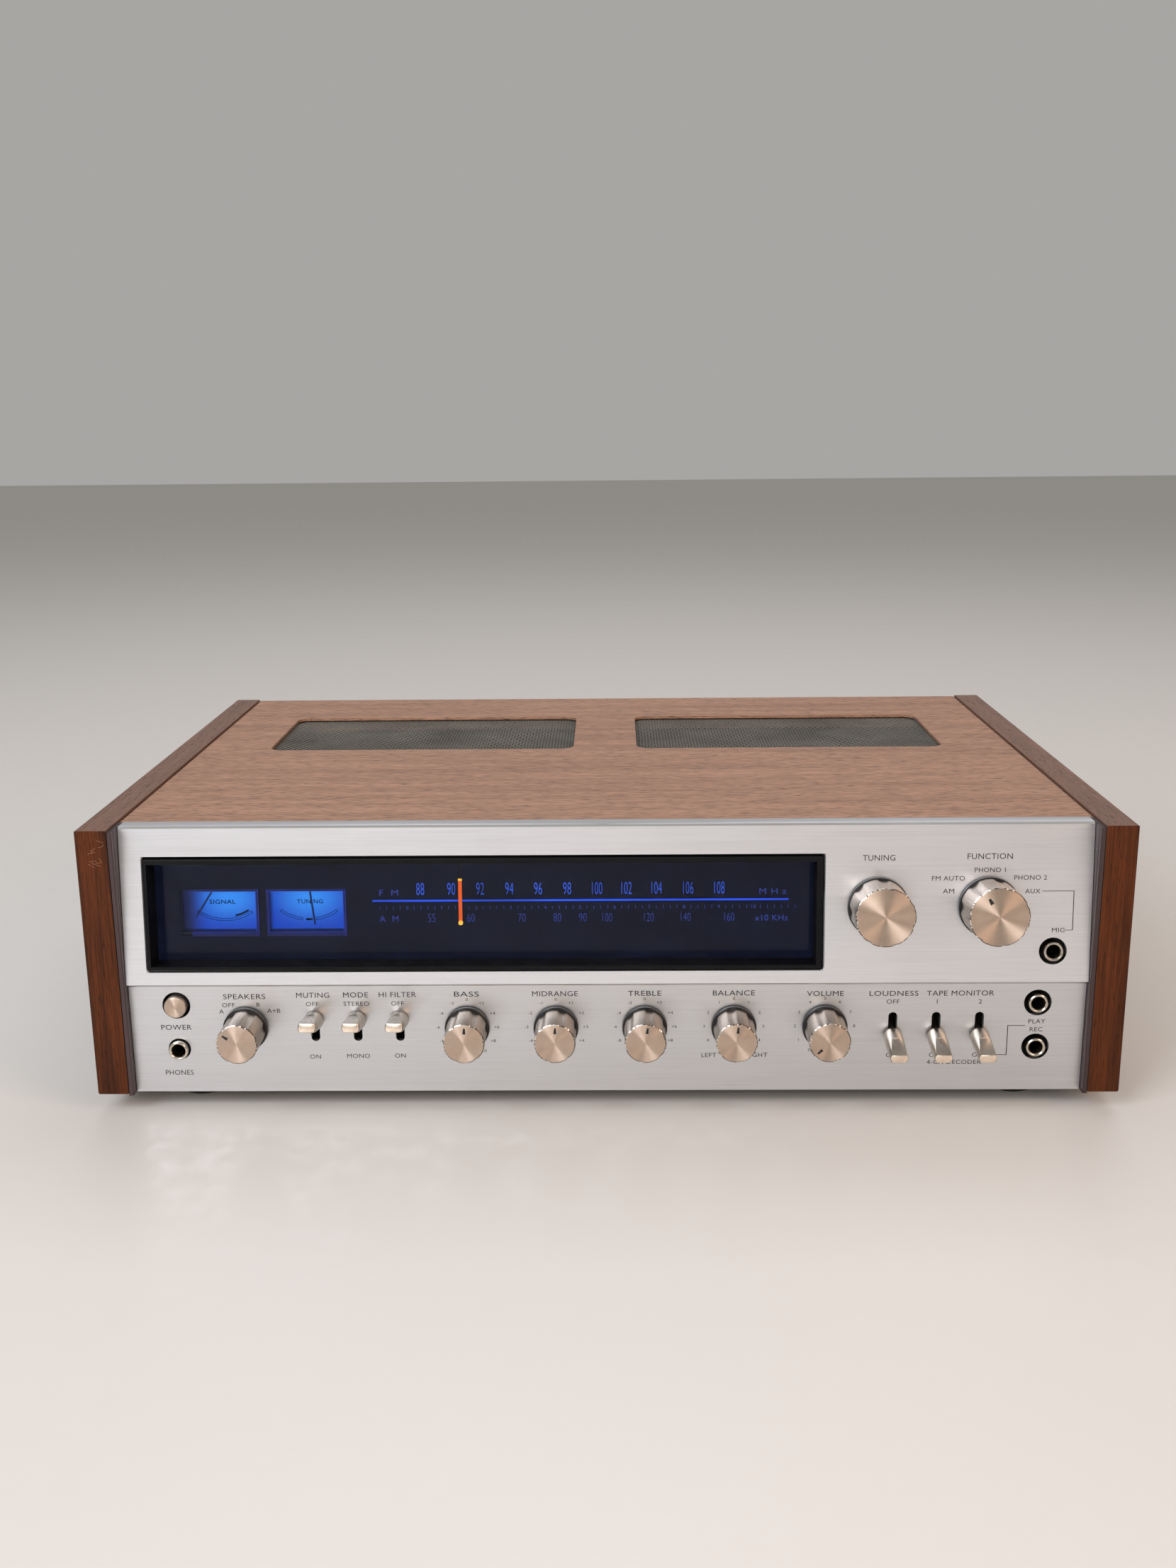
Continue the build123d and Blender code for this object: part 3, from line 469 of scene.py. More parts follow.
# Nickel: warm satin bats, the top flats of the raised ones darkened as painted shade and every tip lightened
# as a painted highlight, and bright jack noses.
# The levers' darker flats are painted shade and their lighter tips are a painted highlight.
LEVER_FLAT_SHADE = Metal("nickel_flat_painted_shade", "#8d8880", "#7b766f", 0.3, (9, 9, 9), dent=0.000002)
LEVER_TIP_HIGHLIGHT = Metal("nickel_tip_painted_highlight", "#ffeedd", "#f0dcc8", 0.24, (3, 3, 3), dent=0.000002)
LEVER_NICKEL = Metal("satin_nickel_plate", "#c9c1b5", "#b3aba0", 0.33, (9, 9, 9), dent=0.000002)
JACK_CHROME = Metal("nickel_plated_brass", "#d6cfc4", "#b3ada2", 0.2, (5, 5, 5), dent=0.000002)
# Case metal: dull brown trims, grey open mesh, and plated steel, with the chassis darkened as painted shade
# for the dim inside of the case.
TRIM = Metal("brown_anodised_aluminium", "#5c4f50", "#504546", 0.36, (60, 60, 120), dent=0.000008)
MESH_PAINT = Metal("grey_painted_expanded_steel", "#706d65", "#58554e", 0.5, (30, 30, 6), metallic=0.3)
# The chassis steel's near-black colour is painted shade inside the case.
CHASSIS_SHADE_STEEL = Metal("chassis_steel_painted_shade", "#2b2a28", "#1c1b1a", 0.5, (18, 18, 18))
ZINC = Metal("zinc_plated_steel", "#b6b3a6", "#8f8c80", 0.38, (18, 18, 18))
BARE_ALUMINIUM = Metal("bare_aluminium", "#d0d0cf", "#aeb0b0", 0.34, (9, 9, 9))
STEEL = Metal("turned_steel", "#a9a8a4", "#83827e", 0.3, (6, 6, 6))
# Blacks: a satin bezel, glossier skirts, and a screen that gives back only a little of the lamps' blue.
BLACK_SATIN = Moulded("black_satin_plastic", "#060608", 0.4, 0.08, depth=0.000005, ior=1.22)
BLACK_KNOB = Moulded("black_moulded_skirt", "#121214", 0.34, 0.08)
BLACK_DEEP = Moulded("matt_black_plastic", "#08080a", 0.6, 0.1)
DIAL_BLACK = Glow("black_dial_screen_with_lamp_spill", "#181b2b", 1.0, "#020307", ior=1.04)
METER_SHELL = Moulded("blue_black_meter_case", "#070c26", 0.5, 0.05)
WINDOW = SmokedAcrylic("smoked_acrylic_window")
# Lit print and meters: blue lines and numbers of three strengths, and an orange rod with yellow ends.
BLUE_BRIGHT = Glow("blue_lit_line", "#1f5cff", 1.5)
BLUE_SCALE = Glow("blue_lit_numerals", "#3f74ff", 1.25)
BLUE_DIM = Glow("blue_dim_numerals", "#3a4fb4", 1.0)
ORANGE = Glow("orange_edge_lit_rod", "#ff6a08", 1.35, "#d2480a")
YELLOW = Glow("rod_lit_ends", "#ffc23a", 1.9, "#e09a20")
BLUE_RIM = Glow("blue_lit_meter_rim", "#2a50ff", 0.9)
DEEP_BLUE_RIM = Glow("violet_lit_meter_frame", "#10208c", 0.4)
SIGNAL_METER = MeterGlow("blue_lit_signal_scale", centre=(0.6, 0.52), shade=(0.02, 0.34))
TUNING_METER = MeterGlow("blue_lit_tuning_scale", centre=(0.52, 0.52), shade=(-0.02, 0.06))
METER_INK = Moulded("meter_scale_ink", "#020818", 0.7, 0.0, ior=1.15)
NEEDLE_BLUE = Glow("blue_lit_needle", "#0c3080", 0.55)
# Inks, then the plain plastics, paints and sleeves of the rear and the inside.
BLACK_INK = Moulded("black_screen_print", "#0d0d0f", 0.5, 0.0)
WHITE_INK = Moulded("white_screen_print", "#d8d6cf", 0.5, 0.0)
LAMP = Moulded("lamp_cover", "#d9d8cf", 0.4, 0.1)
IVORY = Moulded("ivory_nylon", "#d8d2c2", 0.4, 0.1)
CORD = Moulded("waxed_dial_cord", "#b8ae98", 0.6, 0.2, 0.2, 0.00005)
REAR_PAINT = Moulded("black_wrinkle_paint", "#161617", 0.5, 0.2, 0.9, 0.00012)
BAKELITE = Moulded("black_terminal_moulding", "#151312", 0.28, 0.15)
FERRITE = Moulded("grey_ferrite_sleeve", "#2b2c30", 0.45, 0.2)
VARNISH = Moulded("varnished_laminations", "#1d1b1a", 0.3, 0.25, 1.2, 0.0001)
SLEEVE = Moulded("blue_shrink_sleeve", "#1d2f5e", 0.25, 0.1)
BLACK_ANODISED = Metal("black_anodised_aluminium", "#2a2a2c", "#18181a", 0.42, (10, 10, 10), metallic=0.7)
BOARD = Moulded("brown_phenolic_board", "#6b4a26", 0.45, 0.2, 3.0, 0.00003)
RUBBER = Moulded("black_foot_rubber", "#141414", 0.75, 0.3, 0.6, 0.00006)
SCRATCH = Moulded("scuffed_lacquer", "#a5785a", 0.6, 0.0)
SHADOW_BLACK = Moulded("unlit_slot_black", "#020203", 0.8, 0.0)


# ---- mesh building ----
def add_piece(
    name: str,
    mesh: bpy.types.Mesh,
    finishes: Sequence[Finish],
    body: str,
    slot: Slot,
    stands_for: Sequence[str] = (),
    crease: float = 32.0,
) -> bpy.types.Object:
    """Put a finished mesh in the model.

    Args:
        name: the piece's name.
        mesh: its mesh, in the row frame in metres.
        finishes: finishes in the order of the mesh's material numbers.
        body: CAD body it rides on.
        slot: record slot; not used.
        stands_for: CAD nodes it replaces.
        crease: edges sharper than this many degrees stay sharp.

    Returns:
        The new object.
    """
    for finish in finishes:
        mesh.materials.append(finish.material())
    mesh.polygons.foreach_set("use_smooth", [True] * len(mesh.polygons))
    mesh.set_sharp_from_angle(angle=math.radians(crease))
    obj = bpy.data.objects.new(name, mesh)
    bpy.context.scene.collection.objects.link(obj)
    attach(obj, body)
    if stands_for:
        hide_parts(*stands_for)
    log.info("%s rides on %s", name, body)
    return obj


def to_mesh(made: bmesh.types.BMesh, name: str, place: Matrix, tidy: bool = True) -> bpy.types.Mesh:
    """Turn a bmesh into a mesh at its place.

    Args:
        made: the bmesh, which is freed.
        name: name of the mesh.
        place: matrix from the bmesh's coordinates to the row frame.
        tidy: merge doubled points and turn faces outwards.

    Returns:
        The new mesh.
    """
    if tidy:
        bmesh.ops.remove_doubles(made, verts=made.verts, dist=1e-5)
        bmesh.ops.recalc_face_normals(made, faces=made.faces)
    made.transform(place)
    mesh = bpy.data.meshes.new(name)
    made.to_mesh(mesh)
    made.free()
    return mesh


def evaluated(obj: bpy.types.Object) -> bpy.types.Mesh:
    """Return the mesh of an object with its modifiers, and remove the object."""
    graph = bpy.context.evaluated_depsgraph_get()
    mesh = bpy.data.meshes.new_from_object(obj.evaluated_get(graph))
    bpy.data.objects.remove(obj)
    return mesh


def box(made: bmesh.types.BMesh, x: Point, y: Point, z: Point, number: int = 0) -> None:
    """Add a box between three (low, high) pairs, with a material number."""
    corners = [made.verts.new((a, b, c)) for a in x for b in y for c in z]
    for ids in ((0, 1, 3, 2), (4, 6, 7, 5), (0, 4, 5, 1), (2, 3, 7, 6), (0, 2, 6, 4), (1, 5, 7, 3)):
        made.faces.new([corners[i] for i in ids]).material_index = number


def prism(
    made: bmesh.types.BMesh, outline: Sequence[Point], low: float, high: float, number: int = 0
) -> None:
    """Add a prism on an outline that runs anticlockwise seen from above."""
    floor = [made.verts.new((x, y, low)) for x, y in outline]
    roof = [made.verts.new((x, y, high)) for x, y in outline]
    made.faces.new(roof).material_index = number
    made.faces.new(floor[::-1]).material_index = number
    for i in range(len(outline)):
        j = (i + 1) % len(outline)
        made.faces.new((floor[i], floor[j], roof[j], roof[i])).material_index = number


def loft(
    made: bmesh.types.BMesh, rings: Sequence[Ring], numbers: Sequence[int]
) -> list[list[bmesh.types.BMVert]]:
    """Join closed rings of equal length with quads.

    Args:
        made: bmesh to add to.
        rings: point rings from the back to the front.
        numbers: material number of each band between two rings.

    Returns:
        The rings' vertices.
    """
    rows = [[made.verts.new(p) for p in ring] for ring in rings]
    for k in range(len(rows) - 1):
        for i in range(len(rows[k])):
            j = (i + 1) % len(rows[k])
            face = made.faces.new((rows[k][i], rows[k][j], rows[k + 1][j], rows[k + 1][i]))
            face.material_index = numbers[k]
    return rows


def spin_map(made: bmesh.types.BMesh) -> None:
    """Give a round piece its spin map: radius in millimetres, and six turns of pattern round it."""
    layer = made.loops.layers.uv.new("spin")
    for face in made.faces:
        middle = face.calc_center_median()
        base = math.atan2(middle.y, middle.x)
        for loop in face.loops:
            at = loop.vert.co
            reach = math.hypot(at.x, at.y)
            angle = math.atan2(at.y, at.x) if reach > 0.01 else base
            angle += 2 * math.pi * round((base - angle) / (2 * math.pi))
            loop[layer].uv = (reach, angle / (2 * math.pi) * 6)


def turned(name: str, profile: Sequence[Point], steps: int = 48) -> bpy.types.Mesh:
    """Turn a profile about z with a Screw modifier.

    Args:
        name: name of the mesh.
        profile: (radius, height) points from the top to the bottom, in millimetres.
        steps: facets round the turn.

    Returns:
        The turned mesh about its own origin, in millimetres.
    """
    mesh = bpy.data.meshes.new(name)
    points = [(radius, 0.0, height) for radius, height in profile]
    mesh.from_pydata(points, [(i, i + 1) for i in range(len(points) - 1)], [])
    obj = bpy.data.objects.new(name, mesh)
    bpy.context.scene.collection.objects.link(obj)
    screw = obj.modifiers.new("turn", "SCREW")
    screw.steps = screw.render_steps = steps
    screw.use_merge_vertices = True
    screw.merge_threshold = 0.0005
    screw.use_normal_calculate = True
    return evaluated(obj)


def gathered(meshes: Iterable[tuple[bpy.types.Mesh, Matrix]]) -> bmesh.types.BMesh:
    """Gather placed meshes into one bmesh and remove the meshes."""
    made = bmesh.new()
    for mesh, place in meshes:
        mesh.transform(place)
        made.from_mesh(mesh)
        bpy.data.meshes.remove(mesh)
    return made


def softened(
    node: str,
    width: float,
    finishes: Sequence[Finish],
    choose: Callable[[Vector], int],
    slot: Slot,
    body: str,
) -> bpy.types.Object:
    """Stand a copy of a CAD node in its place, with its edges eased.

    Args:
        node: CAD node to copy.
        width: width of the eased edge, in millimetres.
        finishes: the copy's finishes.
        choose: takes a face's normal and gives its finish number.
        slot: record slot.
        body: CAD body.

    Returns:
        The copy.
    """
    made = bmesh.new()
    made.from_mesh(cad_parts[node].data)
    bmesh.ops.remove_doubles(made, verts=made.verts, dist=2e-6)
    bmesh.ops.dissolve_limit(
        made, angle_limit=math.radians(0.4), verts=made.verts, edges=made.edges, delimit={"NORMAL"}
    )
    mesh = bpy.data.meshes.new(node + "_eased")
    made.to_mesh(mesh)
    made.free()
    mesh.materials.clear()
    for face in mesh.polygons:
        face.material_index = choose(face.normal)
    obj = add_piece(node + "_eased", mesh, finishes, body, slot, [node], crease=35)
    ease = obj.modifiers.new("ease", "BEVEL")
    ease.width = width * MM
    ease.segments = 2
    ease.limit_method = "ANGLE"
    ease.angle_limit = math.radians(38)
    ease.use_clamp_overlap = True
    ease.harden_normals = False
    return obj


def dress(names: Iterable[str], finish: Finish) -> None:
    """Give CAD nodes a finish."""
    for name in names:
        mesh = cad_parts[name].data
        mesh.materials.clear()
        mesh.materials.append(finish.material())


def dress_by_face(name: str, finishes: Sequence[Finish], choose: Callable[[Vector, Vector], int]) -> None:
    """Give a CAD node several finishes, chosen from each face's normal and middle.

    Args:
        name: CAD node.
        finishes: the finishes.
        choose: takes the face's normal and its middle in millimetres, gives a finish number.
    """
    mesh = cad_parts[name].data
    mesh.materials.clear()
    for finish in finishes:
        mesh.materials.append(finish.material())
    for face in mesh.polygons:
        face.material_index = choose(face.normal, face.center / MM)


# ---- lettering ----
@dataclass(frozen=True)
class Label:
    """A printed word: its middle, capital height and width, in millimetres on its panel."""

    text: str
    x: float
    y: float
    height: float = 2.6
    width: Optional[float] = None


@dataclass
class Printer:
    """Makes flat print as thin meshes."""

    thin: float = 0.0
    spacing: float = 1.06
    stretch: float = 1.12
    cap_height: float = field(init=False)

    def __post_init__(self) -> None:
        """Measure the capital height of the lettering."""
        mesh = self.glyphs("H")
        self.cap_height = max(v.co.y for v in mesh.vertices)
        bpy.data.meshes.remove(mesh)

    def glyphs(self, text: str) -> bpy.types.Mesh:
        """Return the mesh of a word at size 1."""
        curve = bpy.data.curves.new("print", "FONT")
        curve.body = text
        curve.extrude = 0.01
        curve.offset = self.thin
        curve.resolution_u = 3
        curve.space_character = self.spacing
        obj = bpy.data.objects.new("print", curve)
        bpy.context.scene.collection.objects.link(obj)
        mesh = evaluated(obj)
        bpy.data.curves.remove(curve)
        return mesh

    def words(
        self, name: str, labels: Sequence[Label], panel: Panel, low: float, finish: Finish, slot: Slot
    ) -> bpy.types.Object:
        """Print words on a panel as one piece.

        Args:
            name: the piece's name.
            labels: the words.
            panel: the panel they are on.
            low: height of the print's underside above the panel.
            finish: the ink.
            slot: record slot.

        Returns:
            The piece.
        """
        placed = []
        for label in labels:
            mesh = self.glyphs(label.text)
            left = min(v.co.x for v in mesh.vertices)
            right = max(v.co.x for v in mesh.vertices)
            tall = label.height / self.cap_height
            wide = label.width / (right - left) if label.width else tall * self.stretch
            for v in mesh.vertices:
                x = (v.co.x - (left + right) / 2) * wide + label.x
                y = (v.co.y - self.cap_height / 2) * tall + label.y
                v.co = (x, y, low + (PRINT_THICK if v.co.z > 0 else 0.0))
            placed.append((mesh, Matrix.Identity(4)))
        made = gathered(placed)
        return add_piece(name, to_mesh(made, name, panel.matrix(), tidy=False), [finish], "case", slot)


def bars(
    name: str,
    rects: Sequence[tuple[float, float, float, float]],
    panel: Panel,
    low: float,
    finish: Finish,
    slot: Slot,
) -> bpy.types.Object:
    """Print straight bars on a panel as one piece.

    Args:
        name: the piece's name.
        rects: left, bottom, right and top of each bar.
        panel: the panel they are on.
        low: height of the print's underside above the panel.
        finish: the ink.
        slot: record slot.

    Returns:
        The piece.
    """
    made = bmesh.new()
    for left, bottom, right, top in rects:
        box(made, (left, right), (bottom, top), (low, low + PRINT_THICK))
    return add_piece(name, to_mesh(made, name, panel.matrix()), [finish], "case", slot)


def leader(points: Sequence[Point], width: float = 0.28) -> list[tuple[float, float, float, float]]:
    """Return the bars of a line with square corners through the points."""
    half = width / 2
    return [
        (min(a[0], b[0]) - half, min(a[1], b[1]) - half, max(a[0], b[0]) + half, max(a[1], b[1]) + half)
        for a, b in zip(points, points[1:])
    ]


# ---- sub-assemblies ----
@dataclass
class Cabinet:
    """Walnut cheeks and top, the two vent meshes, the trims and the feet.

    The strands' pitch is the length of a diamond and the step from row to row. Their section is in strand
    widths and sheet thicknesses.
    """

    cheek_inner: float = -236.0
    mesh_z: float = 130.82
    mesh_thick: float = 0.35
    vent_x: float = 106.9
    vent_y: float = 220.2
    vent_size: tuple[float, float] = (184.0, 98.6)
    pitch: tuple[float, float] = (3.6, 1.95)
    strand: float = 0.5
    section: tuple[Point, ...] = ((-0.5, 0), (0.5, 0.25), (0.5, 1), (-0.5, 0.75))

    def wood(self) -> None:
        """Dress the cheeks, whose front edges are lipped with standing grain, and the top."""
        for name in ("left_cheek", "right_cheek"):
            dress_by_face(name, [CHEEK_WALNUT, EDGE_WALNUT], lambda normal, at: int(normal.y < -0.7))
        dress(["top_cover"], TOP_WALNUT)

    def vent(self, centre_x: float) -> bmesh.types.BMesh:
        """Build one expanded steel mesh: zigzag strands whose bends meet the next strand's."""
        made = bmesh.new()
        half_w, half_l = self.vent_size[0] / 2, self.vent_size[1] / 2
        step, rise = self.pitch[0] / 2, self.pitch[1]
        rows = int(2 * half_l / rise)
        columns = int(2 * half_w / step)
        for row in range(rows):
            middle = -half_l + (row + 0.5) * rise
            lines: list[list[bmesh.types.BMVert]] = [[], [], [], []]
            for column in range(columns + 1):
                bend = (1 if (column + row) % 2 else -1) * rise * 0.5
                x = centre_x - half_w + column * step
                y = self.vent_y + middle + bend
                for k, (across, z) in enumerate(self.section):
                    spot = (x, y + across * self.strand, self.mesh_z + z * self.mesh_thick)
                    lines[k].append(made.verts.new(spot))
            for column in range(columns):
                for k in range(4):
                    m = (k + 1) % 4
                    near, far = lines[k], lines[m]
                    made.faces.new((near[column], near[column + 1], far[column + 1], far[column]))
            for end in (0, -1):
                corner = [line[end] for line in lines]
                made.faces.new(corner if end == 0 else corner[::-1])
        return made

    def vents(self) -> None:
        """Stand open meshes in for the plain sheets under the two cut-outs."""
        for name, middle in (("left_vent_strands", -self.vent_x), ("right_vent_strands", self.vent_x)):
            made = self.vent(middle)
            bmesh.ops.recalc_face_normals(made, faces=made.faces)
            mesh = to_mesh(made, name, CASE, tidy=False)
            add_piece(name, mesh, [MESH_PAINT], "case", Slot.MESH, ["vent_meshes"])

    def scratches(self) -> None:
        """Cut a few pale hairline scratches into the upper front edge of the left cheek."""
        dice = random.Random(7)
        scratches, strokes, half_width = 11, 4, 0.045
        made = bmesh.new()
        for _ in range(scratches):
            x, z = dice.uniform(-244.5, -238.5), dice.uniform(117.5, 130.5)
            heading = dice.uniform(-0.9, 0.9)
            for _ in range(strokes):
                length = dice.uniform(0.5, 1.1)
                ahead = (math.cos(heading) * length, math.sin(heading) * length)
                side = (-math.sin(heading) * half_width, math.cos(heading) * half_width)
                corners = [
                    (x - side[0], z - side[1]),
                    (x + ahead[0] - side[0], z + ahead[1] - side[1]),
                    (x + ahead[0] + side[0], z + ahead[1] + side[1]),
                    (x + side[0], z + side[1]),
                ]
                if x + ahead[0] < self.cheek_inner:
                    prism(made, corners, 0.003, 0.018)
                x, z = x + ahead[0], z + ahead[1]
                heading += dice.uniform(-0.5, 0.5)
        cheek_face = Panel((0, FRONT, FOOT_HEIGHT), 0.0)
        mesh = to_mesh(made, "left_cheek_scratches", cheek_face.matrix())
        add_piece("left_cheek_scratches", mesh, [SCRATCH], "case", Slot.WALNUT)

    def build(self) -> None:
        """Build and dress the cabinet."""
        self.wood()
        self.scratches()
        self.vents()
        dress(["side_trims"], TRIM)
        dress(["feet"], RUBBER)


@dataclass
class Fascia:
    """The two aluminium panels and their print."""

    printer: Printer
    ring: float = 14.4

    def lower_words(self) -> list[Label]:
        """Words on the lower panel."""
        main = [
            Label("SPEAKERS", -175.7, 49.0, 2.6, 20.6), Label("MUTING", -142.2, 49.6, 2.6, 16.2),
            Label("MODE", -121.3, 49.7, 2.6, 12.2), Label("HI FILTER", -100.9, 49.8, 2.6, 18.2),
            Label("BASS", -67.3, 49.9, 2.6, 12.1), Label("MIDRANGE", -24.3, 49.95, 2.6, 22.2),
            Label("TREBLE", 19.2, 50.0, 2.6, 16.2), Label("BALANCE", 62.4, 50.0, 2.6, 20.4),
            Label("VOLUME", 106.6, 49.55, 2.6, 17.8), Label("LOUDNESS", 139.7, 49.5, 2.6, 23.6),
            Label("TAPE MONITOR", 171.75, 49.5, 2.6, 32.4), Label("POWER", -210.0, 33.1, 2.6, 15.0),
            Label("PHONES", -210.2, 9.2, 2.5, 13.8),
        ]
        small = [
            ("OFF", -183.7, 44.6), ("B", -169.1, 44.75), ("A", -187.3, 41.3), ("A+B", -161.7, 41.6),
            ("OFF", -142.7, 45.0), ("ON", -142.5, 17.4), ("STEREO", -121.1, 45.1), ("MONO", -121.25, 17.7),
            ("OFF", -101.0, 45.2), ("ON", -100.7, 17.8), ("OFF", 139.4, 45.25), ("1", 160.7, 45.2),
            ("2", 181.5, 45.2), ("ON", 139.6, 17.4), ("ON", 160.6, 17.4), ("ON", 181.5, 17.4),
            ("4-CH DECODER", 170.2, 13.6), ("PLAY", 209.3, 34.8), ("REC", 209.2, 30.6),
            ("LEFT", 50.6, 17.6), ("RIGHT", 73.9, 17.6),
        ]
        return main + [Label(text, x, y, 2.15) for text, x, y in small]

    def ring_marks(self) -> list[Label]:
        """Numbers round the tone, balance and volume knobs, thirty degrees apart."""
        tens = ["0", "2", "4", "6", "8", "10"]
        fives = ["0", "1", "2", "3", "4", "5"]
        marks = []
        for name, x in RING_KNOBS.items():
            for k in range(-5, 6):
                if name == "volume":
                    text = str(k + 5)
                elif name == "balance":
                    text = fives[abs(k)]
                else:
                    sign = "" if k == 0 else ("-" if k < 0 else "+")
                    text = sign + (fives if name == "midrange" else tens)[abs(k)]
                angle = math.radians(30 * k)
                spot = (x + self.ring * math.sin(angle), KNOB_ROW + self.ring * math.cos(angle))
                marks.append(Label(text, spot[0], spot[1], 1.45))
        return marks

    def upper_words(self) -> list[Label]:
        """Words on the upper panel."""
        return [
            Label("TUNING", 130.5, 61.3, 2.7, 15.4), Label("FUNCTION", 183.05, 61.8, 2.7, 21.4),
            Label("PHONO 1", 183.3, 55.2, 2.2, 14.6), Label("FM AUTO", 163.6, 51.2, 2.2, 15.6),
            Label("AM", 163.8, 45.0, 2.2, 5.4), Label("PHONO 2", 202.5, 51.4, 2.2, 15.4),
            Label("AUX", 203.7, 44.8, 2.2, 7.2), Label("MIC", 216.55, 25.7, 2.2, 6.2),
        ]

    def build(self) -> None:
        """Dress the panels, brighten their machined edges and print them."""
        def choose(normal: Vector, at: Vector) -> int:
            """Machined edges are the narrow faces turned between the front and the top."""
            return int(0.25 < normal.z < 0.95 or (normal.z < -0.3 and normal.y < -0.3))

        dress_by_face("upper_fascia", [FASCIA, FASCIA_EDGE], choose)
        # The lower panel's darker finish is painted shade, not a different metal.
        dress_by_face("lower_fascia", [LOWER_FASCIA, FASCIA_EDGE], choose)
        self.printer.words("lower_print", self.lower_words(), LOWER, PRINT_LIFT, BLACK_INK, Slot.FASCIA)
        self.printer.words("knob_scale_print", self.ring_marks(), LOWER, PRINT_LIFT, BLACK_INK, Slot.FASCIA)
        self.printer.words("upper_print", self.upper_words(), UPPER, PRINT_LIFT, BLACK_INK, Slot.FASCIA)
        tape = leader([(203.6, 32.7), (195.5, 32.7), (195.4, 17.4), (190.7, 17.4)])
        bars("tape_leader", tape, LOWER, PRINT_LIFT, BLACK_INK, Slot.FASCIA)
        mic = leader([(208.4, 44.8), (223.2, 44.8), (223.3, 25.7), (218.9, 25.7)])
        bars("mic_leader", mic, UPPER, PRINT_LIFT, BLACK_INK, Slot.FASCIA)


